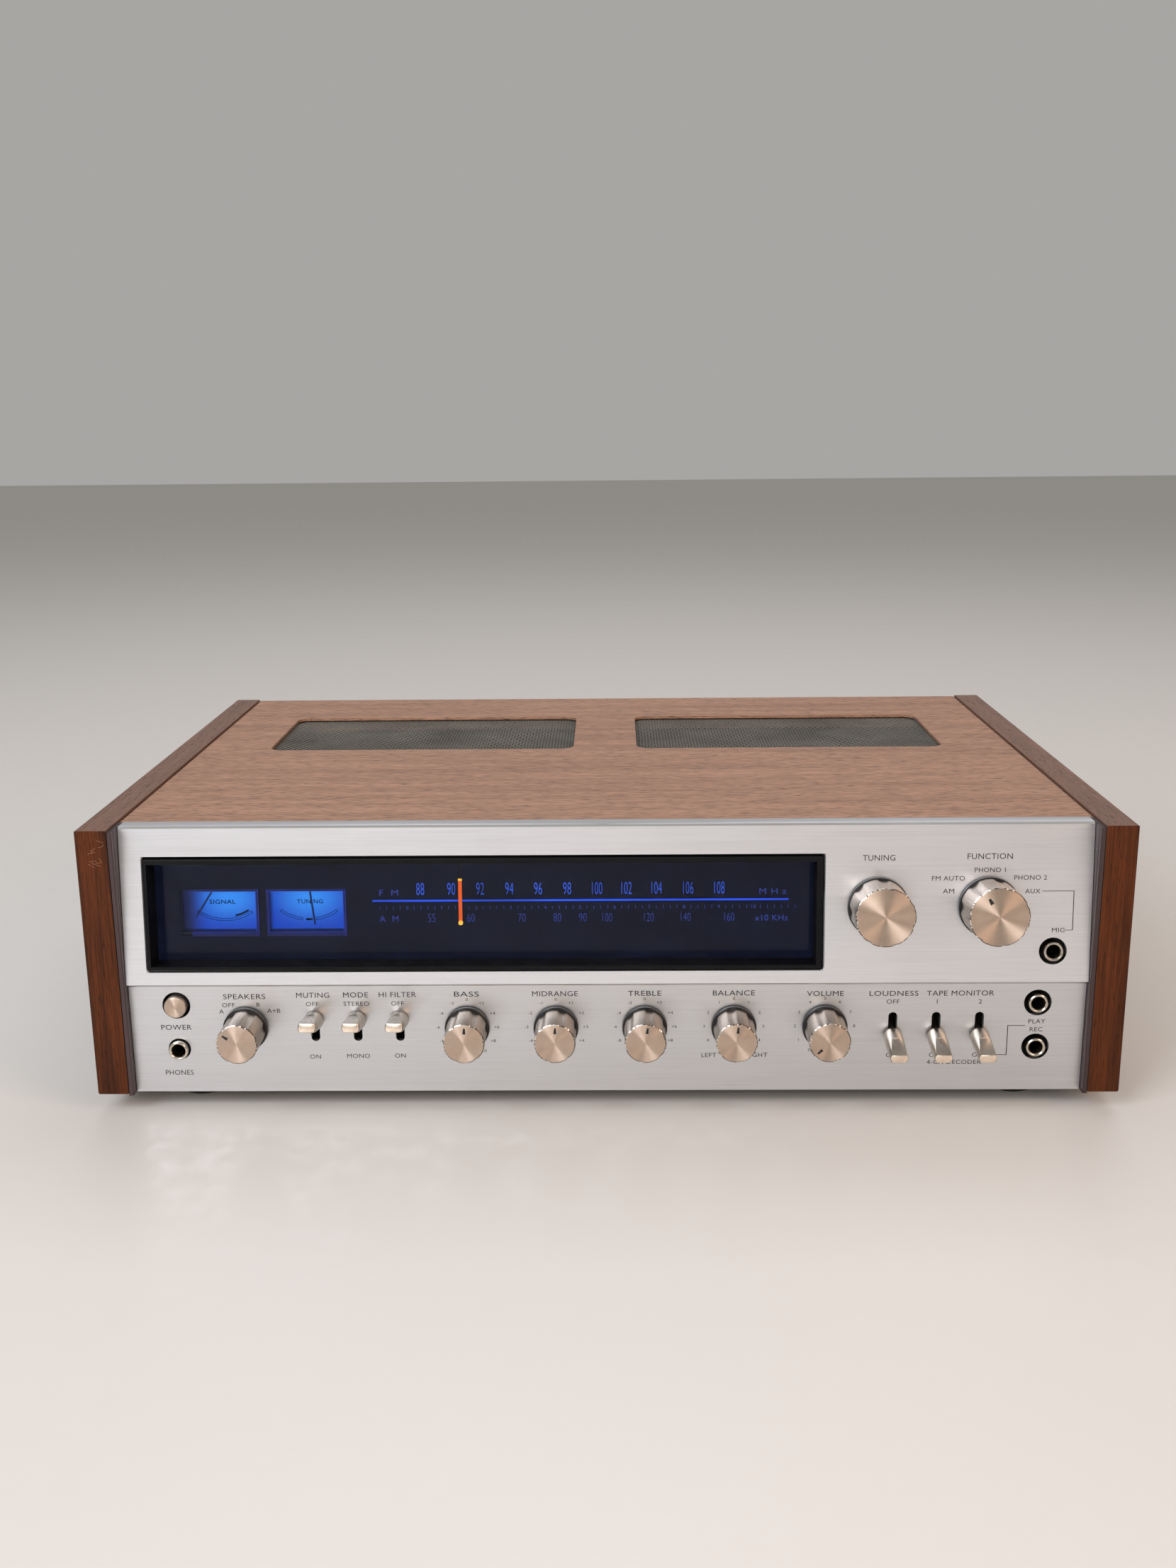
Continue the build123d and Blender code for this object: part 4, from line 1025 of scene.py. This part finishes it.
@dataclass
class DialWindow:
    """Bezel, window, lit scales, pointer and the two meters."""

    printer: Printer
    plate: float = -17.5
    meter_face: float = -24.15
    pointer_x: float = -70.5
    scale_size: Point = (38.4, 31.0)
    scale_y: float = 37.5
    pivot_y: float = 50.4

    def scales(self) -> None:
        """Print the lit scales on the black screen."""
        thin = Printer(thin=-0.014, spacing=1.0, stretch=0.62)
        numbers = zip(
            ("88", "90", "92", "94", "96", "98", "100", "102", "104", "106", "108"),
            (-89.8, -74.6, -60.4, -46.1, -32.0, -17.8, -3.1, 11.3, 26.0, 41.4, 56.6),
        )
        tall = [Label(text, x - 0.5, 43.3, 6.0, 5.0 if len(text) > 2 else 3.9) for text, x in numbers]
        thin.words("fm_numerals", tall, UPPER, self.plate, BLUE_SCALE, Slot.DIAL)
        numbers = zip(
            ("55", "60", "70", "80", "90", "100", "120", "140", "160"),
            (-84.5, -65.2, -40.1, -22.7, -10.2, 1.8, 22.2, 40.2, 61.5),
        )
        low = [Label(text, x - 0.5, 28.7, 4.2, 4.8 if len(text) > 2 else 3.8) for text, x in numbers]
        thin.words("am_numerals", low, UPPER, self.plate, BLUE_DIM, Slot.DIAL)
        bands = [
            Label("F  M", -105.8, 41.5, 3.0, 9.2), Label("A  M", -106.0, 28.4, 3.0, 9.4),
            Label("M H z", 82.2, 41.5, 2.9, 13.2), Label("x10 KHz", 81.6, 28.2, 2.9, 16.2),
        ]
        self.printer.words("band_names", bands, UPPER, self.plate, BLUE_DIM, Slot.DIAL)
        log_start, log_tick = -96.9, 3.394
        log_row = [Label(str(k), log_start + 5 * log_tick * k, 33.9, 1.7) for k in range(11)]
        self.printer.words("log_numerals", log_row, UPPER, self.plate, BLUE_DIM, Slot.DIAL)
        ticks = []
        for k in range(-4, 57):
            numbered = k % 5 == 0 and 0 <= k <= 50
            if not numbered:
                x = log_start + log_tick * k
                ticks.append((x - 0.13, 33.0, x + 0.13, 34.8))
        bars("log_ticks", ticks, UPPER, self.plate, BLUE_DIM, Slot.DIAL)
        bars("dial_line", [(-113.9, 37.0, 89.9, 37.9)], UPPER, self.plate, BLUE_BRIGHT, Slot.DIAL)

    def arc(self, made: bmesh.types.BMesh, radius: float, width: float, start: float, end: float) -> None:
        """Add a printed arc about the meter's pivot, its angles in degrees from straight down."""
        steps = max(2, int(abs(end - start) / 3))
        angles = [math.radians(start + (end - start) * k / steps) for k in range(steps + 1)]
        outer = [(math.sin(a) * (radius + width / 2), -math.cos(a) * (radius + width / 2)) for a in angles]
        inner = [(math.sin(a) * (radius - width / 2), -math.cos(a) * (radius - width / 2)) for a in angles]
        for k in range(steps):
            prism(made, [outer[k], outer[k + 1], inner[k + 1], inner[k]], 0.0, PRINT_THICK)

    def rims(self, name: str, middle: float) -> None:
        """Frame a meter window with the deep blue glow of its case and a thin bright line."""
        left, right, low, high = middle - 19.6, middle + 19.6, 19.9, 43.7
        inner = (left + (3.5 if name == "signal" else 1.1), right - 1.1, low + 2.0, high - 1.1)
        if name == "signal":
            left = inner[0] + 2.5
        frame_bars = [
            (left, low, right, inner[2]), (left, inner[3], right, high), (inner[1], low, right, high),
        ]
        line_bars = [
            (left, inner[2], inner[1], inner[2] + 0.18),
            (left, inner[3] - 0.18, inner[1], inner[3]),
            (inner[1] - 0.2, inner[2], inner[1], inner[3]),
            (right - 0.2, low, right, high),
        ]
        if name == "tuning":
            frame_bars.append((left, low, inner[0], high))
            line_bars.append((inner[0], inner[2], inner[0] + 0.18, inner[3]))
        bars(name + "_meter_frame", frame_bars, UPPER, self.plate + 0.02, DEEP_BLUE_RIM, Slot.DIAL)
        bars(name + "_meter_line", line_bars, UPPER, self.plate + 0.06, BLUE_RIM, Slot.DIAL)

    def meter(
        self,
        name: str,
        window_x: float,
        pivot_x: float,
        word: Label,
        arcs: Sequence[tuple[float, float, float, float]],
    ) -> None:
        """Build one meter's lit scale and its print.

        Args:
            name: the meter's name.
            window_x: the window's middle across the panel.
            pivot_x: the needle's pivot across the panel.
            word: the word on the scale.
            arcs: radius, width, start and end angle of each printed arc.
        """
        made = bmesh.new()
        wide, tall = self.scale_size
        box(made, (-wide / 2, wide / 2), (-tall / 2, tall / 2), (0.0, 0.06))
        layer = made.loops.layers.uv.new("scale")
        for face in made.faces:
            for loop in face.loops:
                loop[layer].uv = (loop.vert.co.x / wide + 0.5, loop.vert.co.y / tall + 0.5)
        place = UPPER.matrix(window_x, self.scale_y, self.meter_face)
        scale = SIGNAL_METER if name == "signal" else TUNING_METER
        add_piece(name + "_meter_scale", to_mesh(made, name, place), [scale], "case", Slot.DIAL)
        self.rims(name, window_x)
        made = bmesh.new()
        for spec in arcs:
            self.arc(made, *spec)
        place = UPPER.matrix(pivot_x, self.pivot_y, self.meter_face + 0.08)
        add_piece(name + "_meter_arcs", to_mesh(made, name, place), [METER_INK], "case", Slot.DIAL)
        bold = Printer(thin=0.012, spacing=1.1)
        bold.words(name + "_meter_word", [word], UPPER, self.meter_face + 0.08, METER_INK, Slot.DIAL)

    def pointer(self) -> None:
        """Build the ribbed orange rod of the pointer and its lit ends."""
        made = bmesh.new()
        ribs = 44
        low, high = 27.0, 48.2
        for k in range(ribs):
            bottom = low + (high - low) * k / ribs
            top = low + (high - low) * (k + 0.72) / ribs
            box(made, (-0.85, 0.85), (bottom, top), (0.0, 0.5))
        box(made, (-0.72, 0.72), (low, high), (0.0, 0.42))
        place = UPPER.matrix(self.pointer_x, 0.0, -15.38)
        rod = to_mesh(made, "pointer_rod", place)
        add_piece("pointer_rod", rod, [ORANGE], "pointer_carriage", Slot.POINTER)
        made = bmesh.new()
        bead = 1.15
        angles = [math.radians(a) for a in range(0, 360, 24)]
        outline = [(math.cos(a) * bead, math.sin(a) * bead) for a in angles]
        prism(made, [(x, y + 26.9) for x, y in outline], 0.0, 0.62)
        box(made, (-0.95, 0.95), (47.9, 48.9), (0.0, 0.58))
        ends = to_mesh(made, "pointer_ends", place)
        add_piece("pointer_ends", ends, [YELLOW], "pointer_carriage", Slot.POINTER)

    def build(self) -> None:
        """Build and dress everything in the window."""
        dress(["window_bezel"], BLACK_SATIN)
        dress(["dial_glass"], WINDOW)
        dress(["dial_plate"], DIAL_BLACK)
        dress(["meter_cases"], METER_SHELL)
        dress(["signal_needle", "tuning_needle"], NEEDLE_BLUE)
        dress(["pointer"], BLACK_SATIN)
        dress(["dial_lamps"], LAMP)
        self.scales()
        self.pointer()
        # Each scale is two thin arcs closed by short end bars, with one heavy arc for the good range.
        inner, outer, line = 23.1, 24.2, 0.26
        signal_arcs = [
            (inner, line, -35, 34), (outer, line, -35, 34), (22.1, 0.9, 13, 32), (23.6, 1.3, -35.4, -34.6),
            (23.6, 1.3, 33.6, 34.4),
        ]
        self.meter("signal", -189.8, -188.3, Label("SIGNAL", -189.5, 35.9, 2.1, 13.1), signal_arcs)
        tuning_arcs = [
            (inner, line, -36, -8), (outer, line, -36, -8), (inner, line, 8, 36), (outer, line, 8, 36),
            (23.6, 1.0, -4, 4), (23.6, 1.4, -36.4, -35.6), (23.6, 1.4, 35.6, 36.4),
            (23.6, 1.3, -8.4, -7.8), (23.6, 1.3, 7.8, 8.4),
        ]
        self.meter("tuning", -146.7, -146.6, Label("TUNING", -146.0, 35.9, 2.1, 12.9), tuning_arcs)


@dataclass(frozen=True)
class KnobShape:
    """Sizes of one kind of knob cap, in millimetres."""

    radius: float
    out: float
    flutes: int
    depth: float
    flute_radius: float
    mark: tuple[float, float]
    flute_foot: float = 2.6
    taper: float = math.tan(math.radians(1.9))

    def edge(self, angle: float, first_flute: float, height: float) -> float:
        """Radius of the fluted outline at a height and an angle clockwise from the top in degrees."""
        pitch = 360 / self.flutes
        off = math.radians((angle - first_flute + pitch / 2) % pitch - pitch / 2)
        centre = self.radius - self.depth + self.flute_radius
        cutter = self.flute_radius - (height - self.flute_foot) * self.taper
        inside = cutter**2 - (centre * math.sin(off)) ** 2
        if inside <= 0:
            return self.radius
        return min(self.radius, centre * math.cos(off) - math.sqrt(inside))


SMALL_KNOB = KnobShape(9.9, 20.5, 6, 0.9, 4.5, (5.0, 8.0))
BIG_KNOB = KnobShape(14.05, 22.0, 7, 1.0, 6.0, (7.2, 10.2))


@dataclass(frozen=True)
class Knob:
    """One knob: where it is, how its flutes stand and where its mark points at rest."""

    name: str
    panel: Panel
    x: float
    y: float
    shape: KnobShape
    first_flute: float
    mark: Optional[float]

    def cap(self) -> None:
        """Build the spun cap: fluted side, rim in painted shade with bright facets (random chips, and a
        painted highlight towards the upper left), and flat lathe-turned face.
        """
        shape = self.shape
        count = 168
        dice = random.Random(self.name)
        nicks = [dice.random() for _ in range(count)]
        angles = [360 * k / count for k in range(count)]

        def ring(inset: float, height: float, blend: float = 0.0, ragged: float = 0.0) -> Ring:
            """One ring of the cap; blend draws the fluted outline towards a circle."""
            made = []
            for k, angle in enumerate(angles):
                nick = ragged * max(0.0, nicks[k] - 0.8) * 5
                edge = shape.edge(angle, self.first_flute, height)
                radius = (edge - inset - nick) * (1 - blend) + (shape.radius - shape.depth - inset) * blend
                turn = math.radians(angle)
                made.append((math.sin(turn) * radius, math.cos(turn) * radius, height))
            return made[::-1]

        out = shape.out
        rings = [
            ring(0.9, 2.65), ring(0.12, 2.65), ring(0.0, 2.8), ring(0.0, out - 0.4, ragged=0.02),
            ring(0.06, out - 0.2, ragged=0.08), ring(0.3, out - 0.02, ragged=0.22),
            ring(0.42, out, ragged=0.3), ring(0.9, out, 0.6), ring(1.5, out, 1.0),
        ]
        side, rim, spun, shaded_rim = range(4)
        numbers = [side, side, side, rim, rim, rim, spun, spun]
        for share in (0.8, 0.55, 0.3, 0.12):
            rings.append(ring(shape.radius * (1 - share) - shape.depth * (1 - share), out, 1.0))
            numbers.append(spun)
        made = bmesh.new()
        rows = loft(made, rings, numbers)
        floor = made.faces.new(rows[0][::-1])
        floor.material_index = side
        pole = made.verts.new((0, 0, out))
        for k in range(count):
            face = made.faces.new((rows[-1][k], rows[-1][(k + 1) % count], pole))
            face.material_index = spun
        bright = [dice.random() for _ in range(count)]
        for face in made.faces:
            middle = face.calc_center_median()
            base = math.atan2(middle.y, middle.x)
            # Rim facets stay bright at random as chips, and far more often towards the upper left as a
            # painted highlight; the rest take the rim's painted shade.
            chip_and_highlight_share = 0.12 + 0.5 * max(0.0, math.sin(base) - math.cos(base))
            facet = round(math.degrees(base) / 360 * count) % count
            if face.material_index == rim and bright[facet] > chip_and_highlight_share:
                face.material_index = shaded_rim
        spin_map(made)
        place = self.panel.matrix(self.x, self.y)
        mesh = to_mesh(made, self.name, place, tidy=False)
        body, node = self.name + "_control", self.name + "_knob"
        finishes = [SATIN, RIM_CHIPS_AND_HIGHLIGHT, SPUN, RIM_SHADE]
        add_piece(self.name + "_cap", mesh, finishes, body, Slot.KNOB, [node], crease=24)

    def bar(self) -> None:
        """Build the filled mark that points at the scale."""
        near, far = self.shape.mark
        wide, narrow = (0.72, 0.42) if self.shape is SMALL_KNOB else (0.95, 0.55)
        turn = math.radians(-(self.mark or 0.0))
        corners = [(-wide, near), (wide, near), (narrow, far), (-narrow, far)]
        along, across = math.cos(turn), math.sin(turn)
        outline = [(x * along - y * across, x * across + y * along) for x, y in corners]
        made = bmesh.new()
        prism(made, outline, self.shape.out - 0.2, self.shape.out + 0.02)
        mesh = to_mesh(made, self.name, self.panel.matrix(self.x, self.y))
        add_piece(self.name + "_mark", mesh, [BLACK_INK], self.name + "_control", Slot.KNOB)

    def build(self) -> None:
        """Build the cap and its mark and dress the black core."""
        self.cap()
        if self.mark is not None:
            self.bar()
        dress([self.name + "_spindle"], BLACK_KNOB)


KNOBS = (
    Knob("speakers", LOWER, -175.7, KNOB_ROW, SMALL_KNOB, 23.0, -56.0),
    Knob("bass", LOWER, RING_KNOBS["bass"], KNOB_ROW, SMALL_KNOB, 25.0, 3.0),
    Knob("midrange", LOWER, RING_KNOBS["midrange"], KNOB_ROW, SMALL_KNOB, 19.0, 2.0),
    Knob("treble", LOWER, RING_KNOBS["treble"], KNOB_ROW, SMALL_KNOB, 13.0, 7.7),
    Knob("balance", LOWER, RING_KNOBS["balance"], KNOB_ROW, SMALL_KNOB, -10.0, 4.4),
    Knob("volume", LOWER, RING_KNOBS["volume"], KNOB_ROW, SMALL_KNOB, -21.0, -134.0),
    Knob("tuning", UPPER, 130.5, BIG_KNOB_ROW, BIG_KNOB, -45.0, None),
    Knob("function", UPPER, 183.1, BIG_KNOB_ROW, BIG_KNOB, -36.0, -31.0),
)


@dataclass
class Controls:
    """Levers, the power button, the jacks and what is behind them; sizes in millimetres."""

    side_x: float = 209.2
    top_row: float = 44.5
    jack_row: float = 21.7
    ease: float = 0.14

    def levers(self) -> None:
        """Ease the edges of the bat levers; the flats of the raised ones are darkened as painted shade, and
        the tips are lightened as a painted highlight.
        """
        upward = ("muting", "mode", "hi_filter")

        def choose(normal: Vector) -> int:
            """Number of the barrel, the top flat or the tip."""
            return 2 if normal.y < -0.85 else int(normal.z > 0.955)

        for name in ("muting", "mode", "hi_filter", "loudness", "tape_1", "tape_2"):
            # Only the raised levers' flats, which face up, get the painted shade; every tip gets the painted
            # highlight.
            finishes = [LEVER_NICKEL, LEVER_FLAT_SHADE if name in upward else LEVER_NICKEL, LEVER_TIP_HIGHLIGHT]
            softened(name + "_lever", self.ease, finishes, choose, Slot.LEVER, name + "_bat")

    def button(self) -> None:
        """Build the power button's spun face; the shaft behind it is the CAD one."""
        profile = [
            (0.0, 3.0), (1.0, 3.0), (2.4, 3.0), (3.8, 3.0), (4.9, 2.98), (5.2, 2.86), (5.36, 2.6), (5.4, 2.2),
            (5.4, -9.9), (0.0, -9.9),
        ]
        mesh = turned("power_button_face", profile, 96)
        made = bmesh.new()
        made.from_mesh(mesh)
        bpy.data.meshes.remove(mesh)
        bmesh.ops.remove_doubles(made, verts=made.verts, dist=1e-4)
        bmesh.ops.recalc_face_normals(made, faces=made.faces)
        for face in made.faces:
            face.material_index = 0 if face.calc_center_median().z > 2.9 else 1
        spin_map(made)
        mesh = to_mesh(made, "power_button_face", LOWER.matrix(-self.side_x, self.top_row), tidy=False)
        add_piece("power_button_face", mesh, [SPUN, SATIN], "power_push", Slot.KNOB, ["power_button"])

    def jacks(self) -> None:
        """Build the jacks' turned noses."""
        places = (
            (LOWER, -self.side_x, self.jack_row, 3.2), (LOWER, self.side_x, self.top_row, 1.9),
            (LOWER, self.side_x, self.jack_row, 1.9), (UPPER, 214.3, 15.4, 1.9),
        )
        noses = []
        bore, outside, back = 3.26, 4.75, -9.0
        for panel, x, y, out in places:
            profile = [
                (bore, back), (bore, out - 0.9), (3.5, out - 0.35), (3.9, out - 0.05), (4.3, out - 0.02),
                (4.62, out - 0.3), (4.74, out - 0.7), (outside, out - 1.5), (outside, back), (bore, back),
            ]
            noses.append((turned("nose", profile, 64), panel.matrix(x, y)))
        made = gathered(noses)
        bmesh.ops.remove_doubles(made, verts=made.verts, dist=2e-6)
        bmesh.ops.recalc_face_normals(made, faces=made.faces)
        mesh = bpy.data.meshes.new("jack_noses_turned")
        made.to_mesh(mesh)
        made.free()
        add_piece("jack_noses_turned", mesh, [JACK_CHROME], "case", Slot.LEVER, ["jack_noses"])

    def build(self) -> None:
        """Build and dress the controls."""
        self.levers()
        self.button()
        self.jacks()
        dress(["jack_bodies"], BLACK_DEEP)
        dress(["panel_switches", "rotary_controls"], ZINC)
        dress(["front_subpanel"], SHADOW_BLACK)


@dataclass
class Rear:
    """The rear panel, its sockets, terminals, gland, antenna rod, print and screws."""

    printer: Printer
    screws: tuple[Point, ...] = (
        (-222.0, 112.0), (222.0, 112.0), (-222.0, 14.0), (222.0, 14.0), (-20.0, 14.0), (-90.0, 118.0),
        (170.0, 118.0),
    )

    def words(self) -> list[Label]:
        """Words on the rear panel; x is to the right as seen from behind."""
        names = ("PHONO 1", "PHONO 2", "AUX", "TAPE 1", "TAPE 1", "TAPE 2", "TAPE 2", "MIX")
        first_socket, socket_pitch = 50.0, 18
        labels = [
            Label(text, -(first_socket + socket_pitch * k), 69.5, 1.7, 11.0) for k, text in enumerate(names)
        ]
        labels += [Label("L", -37.5, 60.0, 2.4), Label("R", -37.5, 36.0, 2.4)]
        labels += [
            Label("SPEAKERS A", 140, 80.0, 2.6), Label("SPEAKERS B", 140, 52.0, 2.6),
            Label("FM  GND  AM", 20, 50.0, 2.4), Label("ANTENNA", 20, 55.5, 2.6),
            Label("AC 50-60 Hz", 198, 36.0, 2.2), Label("PLAY   REC   PLAY   REC", -131, 75.0, 1.5),
        ]
        return labels

    def heads(self) -> None:
        """Build pan-head screws with crossed slots."""
        profile = [(0.0, 2.0), (1.2, 1.95), (2.2, 1.7), (2.9, 1.2), (3.3, 0.5), (3.4, 0.0), (0.0, 0.0)]
        placed = [(turned("head", profile, 24), REAR.matrix(x, y)) for x, y in self.screws]
        made = gathered(placed)
        mesh = to_mesh(made, "rear_screw_heads", Matrix.Identity(4), tidy=False)
        add_piece("rear_screw_heads", mesh, [ZINC], "case", Slot.REAR)
        made = bmesh.new()
        for x, y in self.screws:
            for wide, tall in ((1.6, 0.3), (0.3, 1.6)):
                box(made, (x - wide, x + wide), (y - tall, y + tall), (1.6, 2.02))
        mesh = to_mesh(made, "rear_screw_slots", REAR.matrix())
        add_piece("rear_screw_slots", mesh, [SHADOW_BLACK], "case", Slot.REAR)

    def build(self) -> None:
        """Build and dress the rear."""
        dress(["rear_panel"], REAR_PAINT)
        dress(["phono_sockets"], JACK_CHROME)
        screw_from = FRONT + 311.05
        dress_by_face("screw_terminals", [BAKELITE, ZINC], lambda normal, at: int(at.y > screw_from))
        dress(["cord_gland"], BAKELITE)
        dress(["antenna_rod"], FERRITE)
        self.printer.words("rear_print", self.words(), REAR, PRINT_LIFT, WHITE_INK, Slot.REAR)
        self.heads()


@dataclass
class Works:
    """Chassis and everything on it."""

    def build(self) -> None:
        """Dress the inside."""
        dress(["dial_frame"], ZINC)
        # The chassis is darkened as painted shade, so the inside seen through the vents stays dim.
        dress(["chassis"], CHASSIS_SHADE_STEEL)
        dress(["dial_cord"], CORD)
        dress(["dial_drum"], IVORY)
        dress(["variable_capacitor", "capacitor_rotor"], BARE_ALUMINIUM)
        dress(["flywheel"], STEEL)
        dress(["power_transformer"], VARNISH)
        dress(["filter_capacitors"], SLEEVE)
        dress(["heat_sink"], BLACK_ANODISED)
        dress(["circuit_boards"], BOARD)


@dataclass
class Studio:
    """Camera, soft lights and a plain pale floor."""

    eye: tuple[float, float, float] = (0.00428, -0.84092, 0.33835)
    pitch: float = 0.246184
    yaw: float = 0.0166911
    roll: float = -0.00992045
    lens: float = 34.94

    def camera(self) -> None:
        """Make the camera at the eye, looking down at the receiver."""
        data = bpy.data.cameras.new("camera")
        data.sensor_fit = "AUTO"
        data.sensor_width = 36.0
        data.lens = self.lens
        data.clip_start = 0.01
        data.clip_end = 50.0
        obj = bpy.data.objects.new("camera", data)
        bpy.context.scene.collection.objects.link(obj)
        ahead = Vector(
            (
                -math.sin(self.yaw) * math.cos(self.pitch),
                math.cos(self.yaw) * math.cos(self.pitch),
                -math.sin(self.pitch),
            )
        )
        right = Vector((math.cos(self.yaw), math.sin(self.yaw), 0.0))
        up = right.cross(ahead)
        across = right * math.cos(self.roll) + up * math.sin(self.roll)
        above = up * math.cos(self.roll) - right * math.sin(self.roll)
        turn = Matrix((across, above, -ahead)).transposed().to_4x4()
        obj.matrix_world = Matrix.Translation(self.eye) @ turn
        bpy.context.scene.camera = obj

    def light(self, name: str, at: Point3, size: Point, power: float, colour: str) -> None:
        """Add a soft panel light that faces the receiver."""
        data = bpy.data.lights.new(name, "AREA")
        data.shape = "RECTANGLE"
        data.size, data.size_y = size
        data.energy = power
        data.color = linear(colour)[:3]
        obj = bpy.data.objects.new(name, data)
        bpy.context.scene.collection.objects.link(obj)
        obj.location = at
        obj.rotation_euler = (Vector((0, 0, 0.08)) - Vector(at)).to_track_quat("-Z", "Y").to_euler()

    def floor(self) -> None:
        """Lay a pale floor under the feet."""
        mesh = bpy.data.meshes.new("floor")
        reach = 6.0
        corners = [(-reach, -reach, 0), (reach, -reach, 0), (reach, reach, 0), (-reach, reach, 0)]
        mesh.from_pydata(corners, [], [(0, 1, 2, 3)])
        mesh.materials.append(Moulded("pale_floor", "#c6c3bd", 0.4, 0.0, 8.0, 0.00001).material())
        obj = bpy.data.objects.new("floor", mesh)
        bpy.context.scene.collection.objects.link(obj)

    def build(self) -> None:
        """Set up the studio."""
        self.camera()
        self.floor()
        world = bpy.data.worlds.new("studio")
        world.use_nodes = True
        background = world.node_tree.nodes["Background"]
        background.inputs["Color"].default_value = linear("#e4e2df")
        background.inputs["Strength"].default_value = 0.5
        bpy.context.scene.world = world
        self.light("key", (-1.3, -1.5, 1.5), (1.2, 1.1), 40.0, "#f0f4ff")
        self.light("fill", (1.6, -1.2, 1.1), (1.0, 1.2), 20.0, "#ffd6b8")
        self.light("front", (-0.5, -1.9, 0.8), (1.5, 0.5), 15.0, "#fffaf6")
        self.light("top", (0.2, 0.9, 1.9), (2.0, 1.2), 18.0, "#f8f8ff")
        bpy.context.scene.view_settings.view_transform = "Standard"


def main() -> None:
    """Build the receiver and the studio."""
    logging.basicConfig(level=logging.INFO, format="%(name)s: %(message)s")
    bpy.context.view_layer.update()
    printer = Printer()
    front = [Fascia(printer), DialWindow(printer), *KNOBS, Controls()]
    for part in [Cabinet(), *front, Rear(printer), Works(), Studio()]:
        part.build()
        log.info("%s is built", type(part).__name__)
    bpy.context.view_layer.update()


if __name__ == "__main__":
    main()
